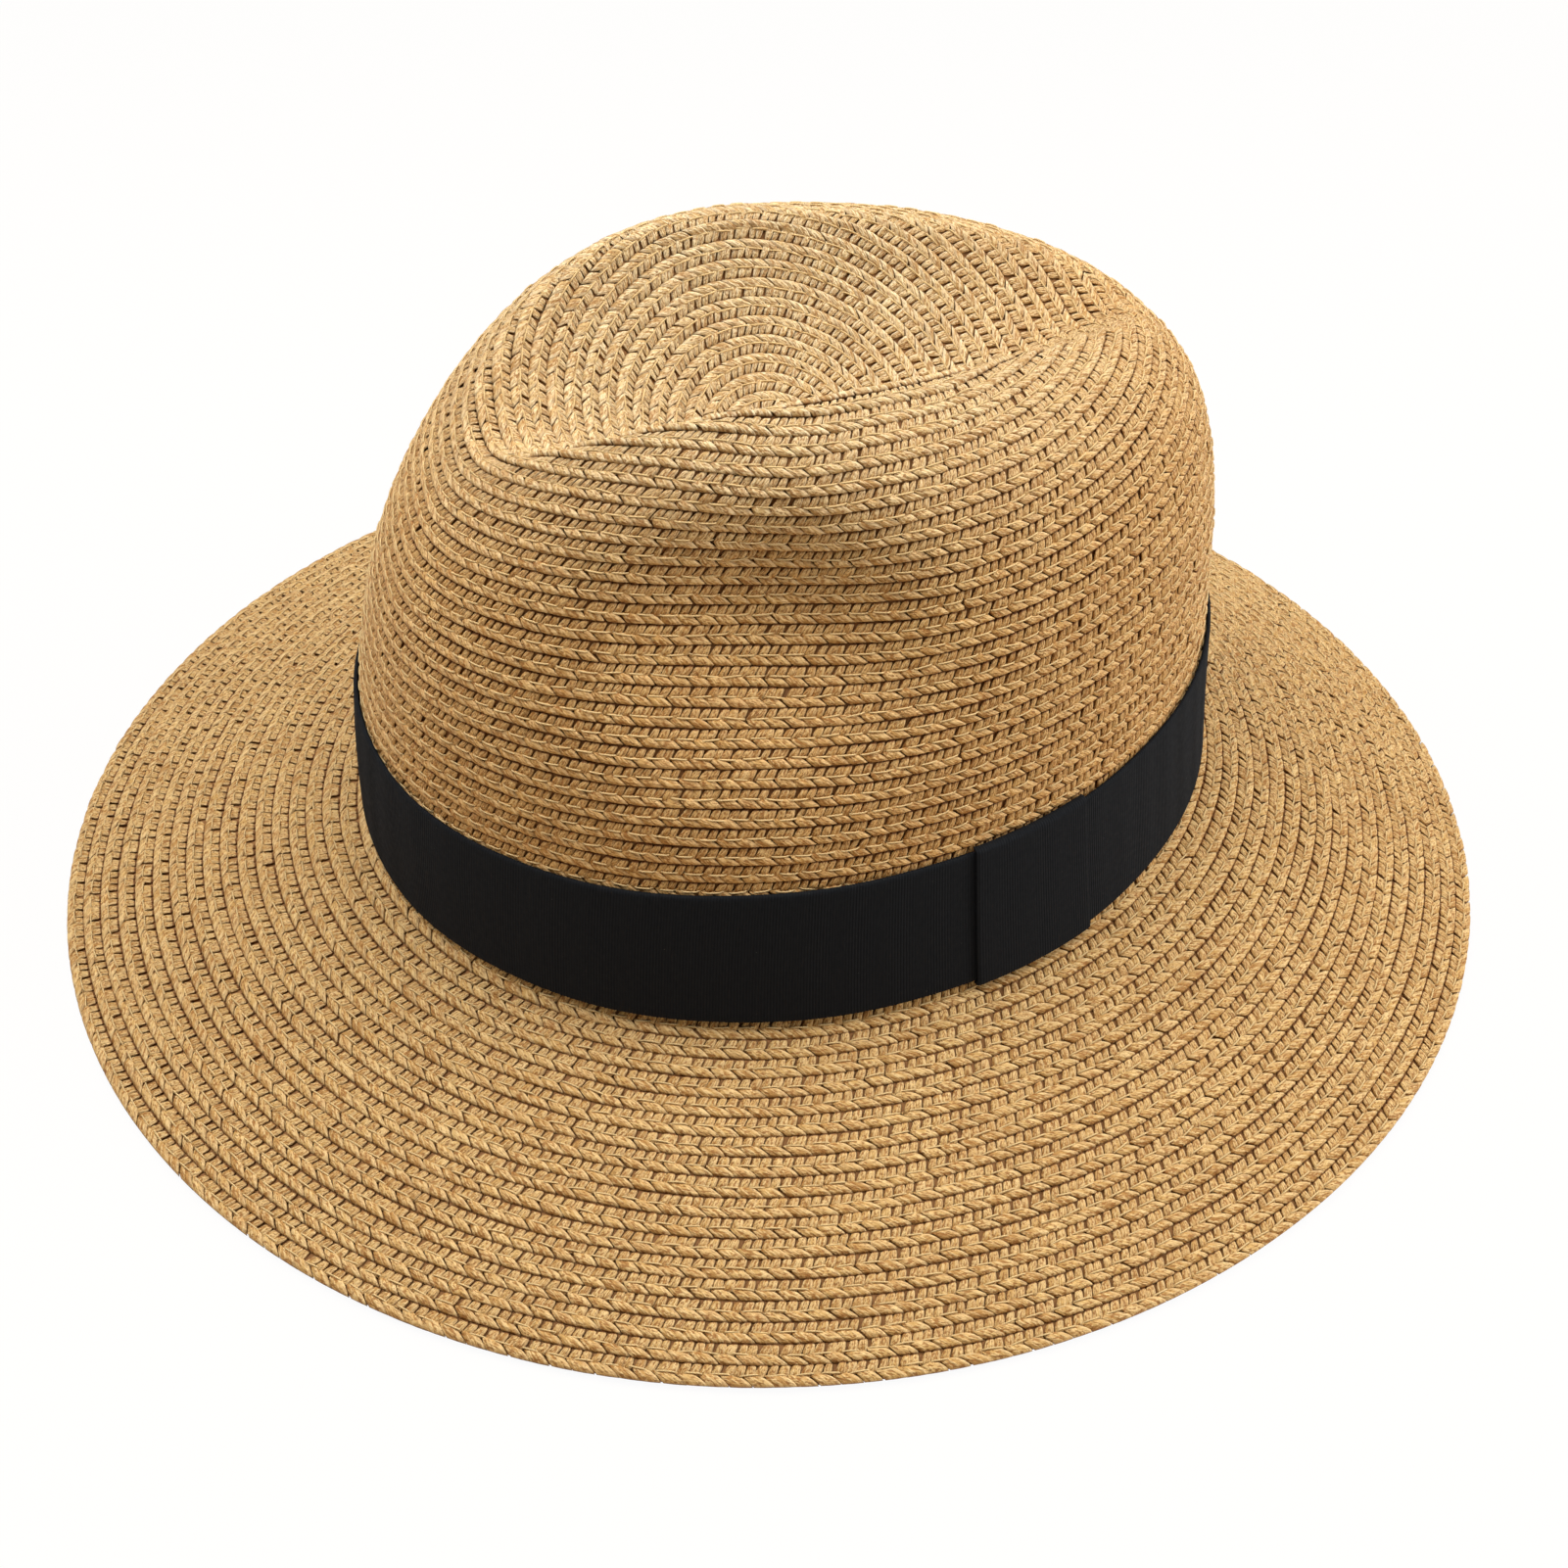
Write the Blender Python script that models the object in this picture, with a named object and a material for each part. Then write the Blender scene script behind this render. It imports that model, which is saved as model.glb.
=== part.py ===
"""Sewn paper-straw hat with a creased crown, a turned-down brim and a ribbon band.

Metres, +Z up. The wearer's front is toward -Y and the wearer's left toward +X.
The brim's edge rests on Z = 0. The crown, band and sweatband are described in a
head frame, whose origin is on the crown's axis at the band's lower edge, and
which leans forward over the level brim edge.
"""

import math

import bmesh
import bpy
import numpy as np

# Fit between neighbouring pieces
CLEARANCE = 0.0003

# Straw shell, one spiral of sewn braid
STRAW_THICKNESS = 0.0025
HEAD_HALF_WIDTH = 0.0870
HEAD_HALF_LENGTH = 0.0983

# Head frame over the level brim edge
HEAD_HEIGHT = 0.0337
HEAD_TILT_DEGREES = 2.7

# Crown before it is creased: a superellipse dome of unlike fullness all round, narrower toward its top
CROWN_HEIGHT = 0.1225
SIDE_FULLNESS = 4.35
FRONT_FULLNESS = 2.57
BACK_FULLNESS = 4.92
FULLNESS_BLEND = 3.0
SIDE_TAPER = 0.267
BACK_TAPER = 0.064
TAPER_POWER = 1.12
CROWN_LEAN = 0.0145
CROWN_BACK_DROP = 0.0228

# Long crease along the top, pressed straight down
CREASE_DEPTH = 0.0389
CREASE_CENTRE = -0.0099
CREASE_FRONT_LENGTH = 0.0597
CREASE_BACK_LENGTH = 0.0950
CREASE_HALF_WIDTH = 0.0355
CREASE_POINTEDNESS = 1.63
CREASE_SHARPNESS = 19.6

# Two pinches at the front, pressed in from the sides
PINCH_DEPTH = 0.0171
PINCH_DEGREES_FROM_FRONT = 60.0
PINCH_HEIGHT = 0.0782
PINCH_SPREAD_DEGREES = 22.3
PINCH_TALLNESS = 0.0230

# Where the top section of the braid meets the side section, as a share of the dome's radius
TIP_SPREAD = 0.80

# Brim, measured outward from the band line
BRIM_WIDTH = 0.0701
BRIM_TURN_RADIUS = 0.0030
EDGE_ROW_WIDTH = 0.0050
EDGE_FLAT = 0.0012
FIRST_SLOPE_DEGREES = 20.0
SLOPE_PASSES = 12

# Ribbon band and the keeper that hides its ends
BAND_HEIGHT = 0.0328
RIBBON_THICKNESS = 0.0008
BAND_END_GAP = 0.0006
KEEPER_DEGREES = 10.7
KEEPER_WIDTH = 0.0300
KEEPER_LIP_REACH = 0.0009

# Sweatband inside the crown, its stitching and the tape over its join
SWEATBAND_LIFT = 0.0015
SWEATBAND_HEIGHT = 0.0305
SWEATBAND_THICKNESS = 0.0010
SWEATBAND_END_GAP = 0.0006
STITCH_LIFT = 0.0035
STITCH_RADIUS = 0.00035
TAPE_WIDTH = 0.0140
TAPE_THICKNESS = 0.0007
TAPE_EDGE_MARGIN = 0.0015

# Thread tacks that hold the band to the crown
TACK_DEGREES = (90.0, 180.0, 225.0)
TACK_LENGTH = 0.0030
TACK_WIDTH = 0.0010
TACK_THICKNESS = 0.0005
TACK_BELOW_EDGE = 0.0030

# Faceting
SHARP_DEGREES = 40.0
AROUND = 72
SIDE_RINGS = 12
TIP_RINGS = 11
TURN_STEPS = 3
BRIM_RINGS = 4
BAND_RINGS = 4
KEEPER_STEPS = 8
TAPE_STEPS = 4
TACK_RINGS = 2
STITCH_SIDES = 6

# Colours, linear, and roughness
STRAW_COLOUR = (0.479, 0.287, 0.117, 1.0)
STRAW_ROUGHNESS = 0.75
RIBBON_COLOUR = (0.011, 0.011, 0.012, 1.0)
RIBBON_ROUGHNESS = 0.80
SWEATBAND_COLOUR = (0.60, 0.51, 0.36, 1.0)
SWEATBAND_ROUGHNESS = 0.90
THREAD_COLOUR = (0.68, 0.55, 0.33, 1.0)
THREAD_ROUGHNESS = 0.70


def clear_scene():
    """Remove whatever the scene already holds."""
    for item in list(bpy.data.objects):
        bpy.data.objects.remove(item, do_unlink=True)


def make_material(name, colour, roughness):
    """Plain non-metal material."""
    material = bpy.data.materials.new(name)
    material.use_nodes = True
    shader = material.node_tree.nodes["Principled BSDF"]
    shader.inputs["Base Color"].default_value = colour
    shader.inputs["Roughness"].default_value = roughness
    shader.inputs["Metallic"].default_value = 0.0
    return material


def add_solid(name, points, faces, material):
    """One closed object from points and faces, its faces turned outward."""
    shape = bmesh.new()
    corners = [shape.verts.new(point) for point in points]
    for face in faces:
        shape.faces.new([corners[index] for index in face])
    bmesh.ops.recalc_face_normals(shape, faces=shape.faces)
    mesh = bpy.data.meshes.new(name)
    shape.to_mesh(mesh)
    shape.free()
    mesh.materials.append(material)
    mesh.shade_smooth()
    mesh.set_sharp_from_angle(angle=math.radians(SHARP_DEGREES))
    solid = bpy.data.objects.new(name, mesh)
    bpy.context.collection.objects.link(solid)
    return solid


def loft(name, sections, material, closed):
    """Solid through a row of like sections, joined into a ring or capped at both ends."""
    count, corners = sections.shape[:2]
    faces = []
    for index in range(count if closed else count - 1):
        following = (index + 1) % count
        for corner in range(corners):
            beside = (corner + 1) % corners
            faces.append((index * corners + corner, index * corners + beside,
                          following * corners + beside, following * corners + corner))
    if not closed:
        faces.append(tuple(range(corners)))
        faces.append(tuple(range((count - 1) * corners, count * corners)))
    return add_solid(name, sections.reshape(-1, 3).tolist(), faces, material)


def all_round():
    """Angles of the ring's facets, from +X toward +Y."""
    return np.arange(AROUND) * (2.0 * math.pi / AROUND)


def open_round(start_angle, gap_angle):
    """Angles of a strip that runs nearly all round and leaves a gap at its start."""
    return np.linspace(start_angle + gap_angle / 2, start_angle + 2 * math.pi - gap_angle / 2, AROUND + 1)


def head_to_world(points):
    """Lean points of the head frame forward and lift them over the brim edge."""
    lean = math.radians(HEAD_TILT_DEGREES)
    x, y, z = points[..., 0], points[..., 1], points[..., 2]
    level_y = y * math.cos(lean) - z * math.sin(lean)
    level_z = y * math.sin(lean) + z * math.cos(lean) + HEAD_HEIGHT
    return np.stack([x, level_y, level_z], axis=-1)


def blend_round(angle, side, front, back):
    """A value at an angle round the head, from its values at the sides, the front and the back."""
    across = np.cos(angle) ** 2
    toward_back = 0.5 + 0.5 * np.tanh(FULLNESS_BLEND * np.sin(angle))
    return side * across + (front + (back - front) * toward_back) * (1.0 - across)


def fullness(angle):
    """Power of the dome's upright superellipse at an angle round the head."""
    return blend_round(angle, SIDE_FULLNESS, FRONT_FULLNESS, BACK_FULLNESS)


def narrowed(angle, spread, rise):
    """A spread on the dome, drawn in by the crown's taper at its rise."""
    return spread * (1.0 - blend_round(angle, SIDE_TAPER, 0.0, BACK_TAPER) * rise ** TAPER_POWER)


def paired(value, angle):
    """The spread that goes with a rise on the dome, or the rise that goes with a spread."""
    power = fullness(angle)
    return (1.0 - value ** power) ** (1.0 / power)


def crease(x, y):
    """How far the top is pressed down at a place in plan."""
    length = np.where(y < CREASE_CENTRE, CREASE_FRONT_LENGTH, CREASE_BACK_LENGTH)
    across = np.abs(x / CREASE_HALF_WIDTH) ** CREASE_POINTEDNESS
    along = np.abs((y - CREASE_CENTRE) / length) ** CREASE_POINTEDNESS
    inside = np.logaddexp(0.0, CREASE_SHARPNESS * (1.0 - across - along)) / CREASE_SHARPNESS
    return CREASE_DEPTH * inside


def pinch(angle, rise):
    """Sideways shift, in x and y, of the two front pinches."""
    shift_x = np.zeros_like(angle + rise)
    shift_y = np.zeros_like(angle + rise)
    for side in (1.0, -1.0):
        centre = math.radians(-90.0 + side * PINCH_DEGREES_FROM_FRONT)
        turn = (angle - centre + math.pi) % (2 * math.pi) - math.pi
        reach = (turn / math.radians(PINCH_SPREAD_DEGREES)) ** 2
        reach = reach + ((CROWN_HEIGHT * rise - PINCH_HEIGHT) / PINCH_TALLNESS) ** 2
        depth = PINCH_DEPTH * np.exp(-reach)
        shift_x = shift_x - depth * math.cos(centre)
        shift_y = shift_y - depth * math.sin(centre)
    return shift_x, shift_y


def crown_point(angle, spread, rise, inset):
    """World point of the creased crown, on its outer face or a set distance inside it."""
    facing = fullness(angle) - 1.0
    reach = narrowed(angle, spread, rise)
    inward = inset * spread ** facing
    x = (HEAD_HALF_WIDTH * reach - inward) * np.cos(angle)
    y = (HEAD_HALF_LENGTH * reach - inward) * np.sin(angle) + CROWN_LEAN * rise ** 2
    z = CROWN_HEIGHT * rise - inset * rise ** facing - CROWN_BACK_DROP * rise * y / HEAD_HALF_LENGTH
    z = z - crease(x, y)
    shift_x, shift_y = pinch(angle, rise)
    return head_to_world(np.stack([x + shift_x, y + shift_y, z], axis=-1))


def outward(angle):
    """Level unit direction out of the head oval."""
    x = np.cos(angle) / HEAD_HALF_WIDTH
    y = np.sin(angle) / HEAD_HALF_LENGTH
    size = np.hypot(x, y)
    return x / size, y / size


def wall_point(angle, height, out):
    """World point at a height on the crown's wall, a distance out of its outer face."""
    rise = height / (CROWN_HEIGHT - CROWN_BACK_DROP * np.sin(angle))
    rise = np.maximum(rise, 0.0)
    reach = narrowed(angle, paired(rise, angle), rise)
    out_x, out_y = outward(angle)
    shift_x, shift_y = pinch(angle, rise)
    x = HEAD_HALF_WIDTH * reach * np.cos(angle) + out * out_x + shift_x
    y = HEAD_HALF_LENGTH * reach * np.sin(angle) + CROWN_LEAN * rise ** 2 + out * out_y + shift_y
    return head_to_world(np.stack([x, y, height + np.zeros_like(x)], axis=-1))


def wall_sections(angles, outline):
    """Sections of a strip on the crown's wall, from an outline of (out, height) corners."""
    corners = [wall_point(angles, height, out) for out, height in outline]
    return np.stack(corners, axis=1)


def strip_outline(inner, outer, low, high, rings):
    """Corners of an upright strip: up its outer face and down its inner one."""
    heights = np.linspace(low, high, rings + 1)
    return [(outer, height) for height in heights] + [(inner, height) for height in heights[::-1]]


def arc_angle(length, angle):
    """Turn of the oval's parameter that covers a length along the wall."""
    speed = math.hypot(HEAD_HALF_WIDTH * math.sin(angle), HEAD_HALF_LENGTH * math.cos(angle))
    return length / speed


def make_crown_side(material):
    """Straw wall from the band line up to the shoulder, with both pinches."""
    angles = all_round()
    seam = TIP_SPREAD + CLEARANCE / HEAD_HALF_WIDTH
    top = paired(seam, angles)
    foot = CLEARANCE / 2 / CROWN_HEIGHT
    rises = [foot + (top - foot) * ring / SIDE_RINGS for ring in range(SIDE_RINGS + 1)]
    outer = [crown_point(angles, paired(rise, angles), rise, 0.0) for rise in rises]
    inner = [crown_point(angles, paired(rise, angles), rise, STRAW_THICKNESS) for rise in rises]
    return loft("crown_side", np.stack(outer + inner[::-1], axis=1), material, True)


def make_crown_tip(material):
    """Straw top with the long crease, closed at the start of the spiral."""
    angles = all_round()
    seam = TIP_SPREAD - CLEARANCE / HEAD_HALF_WIDTH
    spreads = [seam * (1.0 - ring / TIP_RINGS) for ring in range(TIP_RINGS)]
    points = []
    for inset in (0.0, STRAW_THICKNESS):
        for spread in spreads:
            points.extend(crown_point(angles, spread, paired(spread, angles), inset).tolist())
    middle = np.zeros(1)
    for inset in (0.0, STRAW_THICKNESS):
        points.extend(crown_point(middle, 0.0, np.ones(1), inset).tolist())
    faces = []
    shell = TIP_RINGS * AROUND
    for index in range(AROUND):
        beside = (index + 1) % AROUND
        for start in (0, shell):
            for ring in range(TIP_RINGS - 1):
                low = start + ring * AROUND
                high = low + AROUND
                faces.append((low + index, low + beside, high + beside, high + index))
            last = start + (TIP_RINGS - 1) * AROUND
            centre = 2 * shell + (0 if start == 0 else 1)
            faces.append((last + index, last + beside, centre))
        faces.append((index, beside, shell + beside, shell + index))
    return add_solid("crown_tip", points, faces, material)


class BrimSection:
    """Upright sections of the brim at the ring's angles: a turn out of the wall, then a straight slope.

    Distances out are measured level from the crown's wall, heights from the brim's resting plane.
    """

    def __init__(self, angles):
        self.angles = angles
        self.out_x, self.out_y = outward(angles)
        foot = np.stack([HEAD_HALF_WIDTH * np.cos(angles), HEAD_HALF_LENGTH * np.sin(angles),
                         np.full_like(angles, -CLEARANCE / 2)], axis=-1)
        self.foot = head_to_world(foot)
        self.slope = np.full_like(angles, math.radians(FIRST_SLOPE_DEGREES))
        for _ in range(SLOPE_PASSES):
            drop = self.turn(self.slope)[1] - self.edge_top()
            run = BRIM_WIDTH - self.turn(self.slope)[0]
            self.slope = np.arctan2(drop, run)

    def turn(self, heading):
        """Out and height on the turn where it heads down at an angle below level."""
        out = BRIM_TURN_RADIUS * (1.0 - np.sin(heading))
        height = self.foot[:, 2] - BRIM_TURN_RADIUS * np.cos(heading)
        return out, height

    def edge_top(self):
        """Height of the edge's upper corner, so that a narrow flat rests on the plane."""
        return STRAW_THICKNESS / np.cos(self.slope) - EDGE_FLAT * np.tan(self.slope)

    def place(self, out, height):
        """World points at a distance out and a height."""
        x = self.foot[:, 0] + out * self.out_x
        y = self.foot[:, 1] + out * self.out_y
        return np.stack([x, y, height + np.zeros_like(x)], axis=-1)

    def faces_at(self, out, height, heading):
        """Points of the upper face and, square below it, of the lower face."""
        upper = self.place(out, height)
        lower = self.place(out - STRAW_THICKNESS * np.sin(heading), height - STRAW_THICKNESS * np.cos(heading))
        return upper, lower

    def on_turn(self, step):
        """Both faces at a step of the turn, from the upright wall to the slope."""
        heading = math.pi / 2 + (self.slope - math.pi / 2) * step / TURN_STEPS
        out, height = self.turn(heading)
        return self.faces_at(out, height, heading)

    def on_slope(self, along):
        """Both faces at a distance in from the edge, measured level."""
        out = BRIM_WIDTH - along
        height = self.edge_top() + along * np.tan(self.slope)
        return self.faces_at(out, height, self.slope)


def make_brim(material):
    """Straw brim from the band line to the last row."""
    section = BrimSection(all_round())
    stations = [section.on_turn(step) for step in range(TURN_STEPS + 1)]
    widest = BRIM_WIDTH - BRIM_TURN_RADIUS
    last = EDGE_ROW_WIDTH + CLEARANCE
    for ring in range(1, BRIM_RINGS + 1):
        along = widest + (last - widest) * ring / BRIM_RINGS
        stations.append(section.on_slope(along))
    upper = [station[0] for station in stations]
    lower = [station[1] for station in stations]
    return loft("brim", np.stack(upper + lower[::-1], axis=1), material, True)


def make_brim_edge_row(material):
    """Last row of braid, with a narrow flat on the resting plane."""
    section = BrimSection(all_round())
    inner_upper, inner_lower = section.on_slope(EDGE_ROW_WIDTH)
    outer_upper = section.place(BRIM_WIDTH, section.edge_top())
    rest_outer = section.place(BRIM_WIDTH, 0.0)
    rest_inner = section.place(BRIM_WIDTH - EDGE_FLAT, 0.0)
    corners = [inner_upper, outer_upper, rest_outer, rest_inner, inner_lower]
    return loft("brim_edge_row", np.stack(corners, axis=1), material, True)


def make_hat_band(material):
    """Ribbon round the foot of the crown, its ends meeting under the keeper."""
    keeper_angle = math.radians(KEEPER_DEGREES)
    angles = open_round(keeper_angle, arc_angle(BAND_END_GAP, keeper_angle))
    outline = strip_outline(CLEARANCE, CLEARANCE + RIBBON_THICKNESS, 0.0, BAND_HEIGHT, BAND_RINGS)
    return loft("hat_band", wall_sections(angles, outline), material, False)


def make_band_keeper(material):
    """Flat loop of ribbon over the band's ends, folded in over both of its edges."""
    centre = math.radians(KEEPER_DEGREES)
    half_turn = arc_angle(KEEPER_WIDTH, centre) / 2
    angles = np.linspace(centre - half_turn, centre + half_turn, KEEPER_STEPS + 1)
    inner = CLEARANCE + RIBBON_THICKNESS + CLEARANCE
    outer = inner + RIBBON_THICKNESS
    low = -CLEARANCE
    high = BAND_HEIGHT + CLEARANCE
    tuck = inner - KEEPER_LIP_REACH
    outline = [(outer, low - RIBBON_THICKNESS), (outer, high + RIBBON_THICKNESS),
               (tuck, high + RIBBON_THICKNESS), (tuck, high), (inner, high),
               (inner, low), (tuck, low), (tuck, low - RIBBON_THICKNESS)]
    return loft("band_keeper", wall_sections(angles, outline), material, False)


def sweatband_face():
    """Distance out, which is negative, of the sweatband's face toward the head."""
    return -(STRAW_THICKNESS + CLEARANCE + SWEATBAND_THICKNESS)


def make_sweatband(material):
    """Soft strip inside the crown's foot, its ends meeting at the back."""
    back = math.pi / 2
    angles = open_round(back, arc_angle(SWEATBAND_END_GAP, back))
    face = sweatband_face()
    outline = strip_outline(face, face + SWEATBAND_THICKNESS, SWEATBAND_LIFT,
                            SWEATBAND_LIFT + SWEATBAND_HEIGHT, BAND_RINGS)
    return loft("sweatband", wall_sections(angles, outline), material, False)


def stitch_line_height():
    """Height of the stitching's centre over the band line."""
    return SWEATBAND_LIFT + STITCH_LIFT


def make_sweatband_stitching(material):
    """Thread that sews the sweatband to the straw, a line along its lower edge."""
    centre = sweatband_face() - CLEARANCE - STITCH_RADIUS
    turns = np.arange(STITCH_SIDES) * (2 * math.pi / STITCH_SIDES)
    outline = [(centre + STITCH_RADIUS * math.cos(turn), stitch_line_height() + STITCH_RADIUS * math.sin(turn))
               for turn in turns]
    return loft("sweatband_stitching", wall_sections(all_round(), outline), material, True)


def make_join_tape(material):
    """Short tape over the sweatband's join, above the stitching."""
    back = math.pi / 2
    half_turn = arc_angle(TAPE_WIDTH, back) / 2
    angles = np.linspace(back - half_turn, back + half_turn, TAPE_STEPS + 1)
    outer = sweatband_face() - CLEARANCE
    low = stitch_line_height() + STITCH_RADIUS + TAPE_EDGE_MARGIN
    high = SWEATBAND_LIFT + SWEATBAND_HEIGHT - TAPE_EDGE_MARGIN
    outline = strip_outline(outer - TAPE_THICKNESS, outer, low, high, BAND_RINGS)
    return loft("sweatband_join_tape", wall_sections(angles, outline), material, False)


def make_band_tacks(material):
    """Small bars of thread over the band, out of the front view."""
    inner = CLEARANCE + RIBBON_THICKNESS + CLEARANCE
    high = BAND_HEIGHT - TACK_BELOW_EDGE
    for number, degrees in enumerate(TACK_DEGREES, start=1):
        centre = math.radians(degrees)
        half_turn = arc_angle(TACK_WIDTH, centre) / 2
        angles = np.array([centre - half_turn, centre, centre + half_turn])
        outline = strip_outline(inner, inner + TACK_THICKNESS, high - TACK_LENGTH, high, TACK_RINGS)
        loft(f"band_tack_{number}", wall_sections(angles, outline), material, False)


def main():
    """Build every piece of the hat."""
    clear_scene()
    straw = make_material("straw", STRAW_COLOUR, STRAW_ROUGHNESS)
    ribbon = make_material("ribbon", RIBBON_COLOUR, RIBBON_ROUGHNESS)
    cotton = make_material("cotton", SWEATBAND_COLOUR, SWEATBAND_ROUGHNESS)
    thread = make_material("thread", THREAD_COLOUR, THREAD_ROUGHNESS)
    make_crown_tip(straw)
    make_crown_side(straw)
    make_brim(straw)
    make_brim_edge_row(straw)
    make_hat_band(ribbon)
    make_band_keeper(ribbon)
    make_band_tacks(ribbon)
    make_sweatband(cotton)
    make_join_tape(cotton)
    make_sweatband_stitching(thread)


main()
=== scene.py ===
"""Looks of a sewn paper-straw hat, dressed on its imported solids.

Metres, +Z up, in the solids' frame. The wearer's front is toward -Y and the wearer's left toward +X.
The straw is a plaited braid, sewn in rows: each row has slanting strands along its outer edge, and
cross strands that run in under the row above. Its surface is described by an angle round the head and a
row number, from 0 at the crown's tip to the brim's edge.
"""

import math

import bpy
import numpy as np
from mathutils import Matrix, Vector

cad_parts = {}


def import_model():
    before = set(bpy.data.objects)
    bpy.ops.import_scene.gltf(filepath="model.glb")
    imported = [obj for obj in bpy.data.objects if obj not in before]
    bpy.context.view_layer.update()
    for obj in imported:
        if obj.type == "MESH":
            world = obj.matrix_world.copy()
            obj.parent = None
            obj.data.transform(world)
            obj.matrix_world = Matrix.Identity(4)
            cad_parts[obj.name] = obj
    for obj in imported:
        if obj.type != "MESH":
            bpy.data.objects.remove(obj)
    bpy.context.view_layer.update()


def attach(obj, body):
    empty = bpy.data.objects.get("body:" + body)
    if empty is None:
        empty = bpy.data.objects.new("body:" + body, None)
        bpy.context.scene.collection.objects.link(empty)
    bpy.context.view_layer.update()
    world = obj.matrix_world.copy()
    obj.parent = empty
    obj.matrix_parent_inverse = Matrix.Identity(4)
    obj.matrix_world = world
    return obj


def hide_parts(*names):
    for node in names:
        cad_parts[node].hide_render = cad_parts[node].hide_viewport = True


MM = 0.001

# Straw shell, as in the solids
STRAW_THICKNESS = 0.0025
HEAD_HALF_WIDTH = 0.0870
HEAD_HALF_LENGTH = 0.0983
HEAD_HEIGHT = 0.0337
HEAD_TILT_DEGREES = 2.7
CROWN_HEIGHT = 0.1225
SIDE_FULLNESS = 4.35
FRONT_FULLNESS = 2.57
BACK_FULLNESS = 4.92
FULLNESS_BLEND = 3.0
SIDE_TAPER = 0.267
BACK_TAPER = 0.064
TAPER_POWER = 1.12
CROWN_LEAN = 0.0145
CROWN_BACK_DROP = 0.0228
CREASE_DEPTH = 0.0389
CREASE_CENTRE = -0.0099
CREASE_FRONT_LENGTH = 0.0597
CREASE_BACK_LENGTH = 0.0950
CREASE_HALF_WIDTH = 0.0355
CREASE_POINTEDNESS = 1.63
CREASE_SHARPNESS = 19.6
PINCH_DEPTH = 0.0171
PINCH_DEGREES_FROM_FRONT = 60.0
PINCH_HEIGHT = 0.0782
PINCH_SPREAD_DEGREES = 22.3
PINCH_TALLNESS = 0.0230
BRIM_WIDTH = 0.0701
BRIM_TURN_RADIUS = 0.0030
EDGE_FLAT = 0.0012
FIRST_SLOPE_DEGREES = 20.0
SLOPE_PASSES = 12

# Band and inside pieces, as in the solids
CLEARANCE = 0.0003
BAND_HEIGHT = 0.0328
RIBBON_THICKNESS = 0.0008
BAND_END_GAP = 0.0006
KEEPER_DEGREES = 10.7
KEEPER_WIDTH = 0.0300
SWEATBAND_LIFT = 0.0015
SWEATBAND_HEIGHT = 0.0305
SWEATBAND_THICKNESS = 0.0010
SWEATBAND_END_GAP = 0.0006
STITCH_LIFT = 0.0035
STITCH_RADIUS = 0.00035
TAPE_WIDTH = 0.0140
TAPE_THICKNESS = 0.0007
TAPE_EDGE_MARGIN = 0.0015
TACK_DEGREES = (90.0, 180.0, 225.0)
TACK_LENGTH = 0.0030
TACK_WIDTH = 0.0010
TACK_BELOW_EDGE = 0.0030

# Rows of braid, counted from the crown's tip, and rows of the brim, counted from the band line
CROWN_ROWS = 46
SHOULDER_ROW = 17
TIP_ROWS = 24
FOOT_ROW = 32
BAND_TOP_ROW = 39
BRIM_ROWS = 18
BRIM_MIDDLE_ROW = 6
BRIM_OUTER_ROW = 12
ROW_PITCH = 0.0044
FIRST_TURN = 0.5
FIRST_TURN_FORWARD = 0.16

# Sway of the sewn rows: waves round the hat, size in rows, and turn from one row to the next
ROW_SWAY = ((9, 0.026, 0.9), (23, 0.016, 2.1))
FULL_SWAY_ROW = 12.0

# Steps that the straw's face and the runs of braid are worked out in
GRID_ANGLES = 720
GRID_PER_ROW = 8
MERIDIAN_SAMPLES = 900
WALL_SAMPLES = 7200
SPIRAL_STEPS_PER_TURN = 360
RING_STEPS = 720

# Strands along a row's outer edge: place across the row, height in mm, half length in pitches, painted
# shade on their sides at the slits and painted shade all over. Closeness is a share of the pitch by row.
EDGE_PITCH = 0.0044
EDGE_CLOSENESS = ((0.0, 0.70), (22.0, 0.86), (45.0, 0.88), (46.0, 1.0))
EDGE_LEAN = 0.0025
EDGE_STATIONS = (
    (0.50, -0.50, 0.36, 1.0, 0.2),
    (0.58, -0.22, 0.43, 1.0, 0.0),
    (0.68, -0.08, 0.475, 0.8, 0.0),
    (0.80, 0.00, 0.495, 0.7, 0.0),
    (0.94, -0.10, 0.50, 0.7, 0.0),
    (1.03, -0.80, 0.48, 0.7, 0.6),
)
EDGE_RING = ((-1.0, -0.54), (-0.93, -0.11), (-0.50, 0.02), (0.0, 0.05), (0.50, 0.02), (0.93, -0.13),
             (1.0, -0.56), (0.0, -0.70))
EDGE_LOOSENESS = 0.75

# Strands across the row, in the same columns, but with half width in mm. The painted shade where they are
# tucked under the row above is a share by row.
CROSS_PER_EDGE = 2
CROSS_CLOSENESS = 0.95
CROSS_LEAN = -0.0011
CROSS_STATIONS = (
    (-0.06, -1.00, 0.42, 1.0, 1.0),
    (0.02, -0.68, 0.66, 1.0, 1.0),
    (0.07, -0.45, 0.84, 1.0, 0.8),
    (0.14, -0.33, 0.96, 0.8, 0.0),
    (0.33, -0.22, 1.07, 0.5, 0.0),
    (0.64, -0.40, 1.16, 0.4, 0.7),
)
CROSS_RING = ((-1.0, -0.40), (-0.74, -0.06), (0.0, 0.0), (0.74, -0.06), (1.0, -0.40), (0.0, -0.54))
CROSS_LOOSENESS = 1.3
TUCKED_SHADE = ((12.0, 0.45), (26.0, 1.0))

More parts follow.
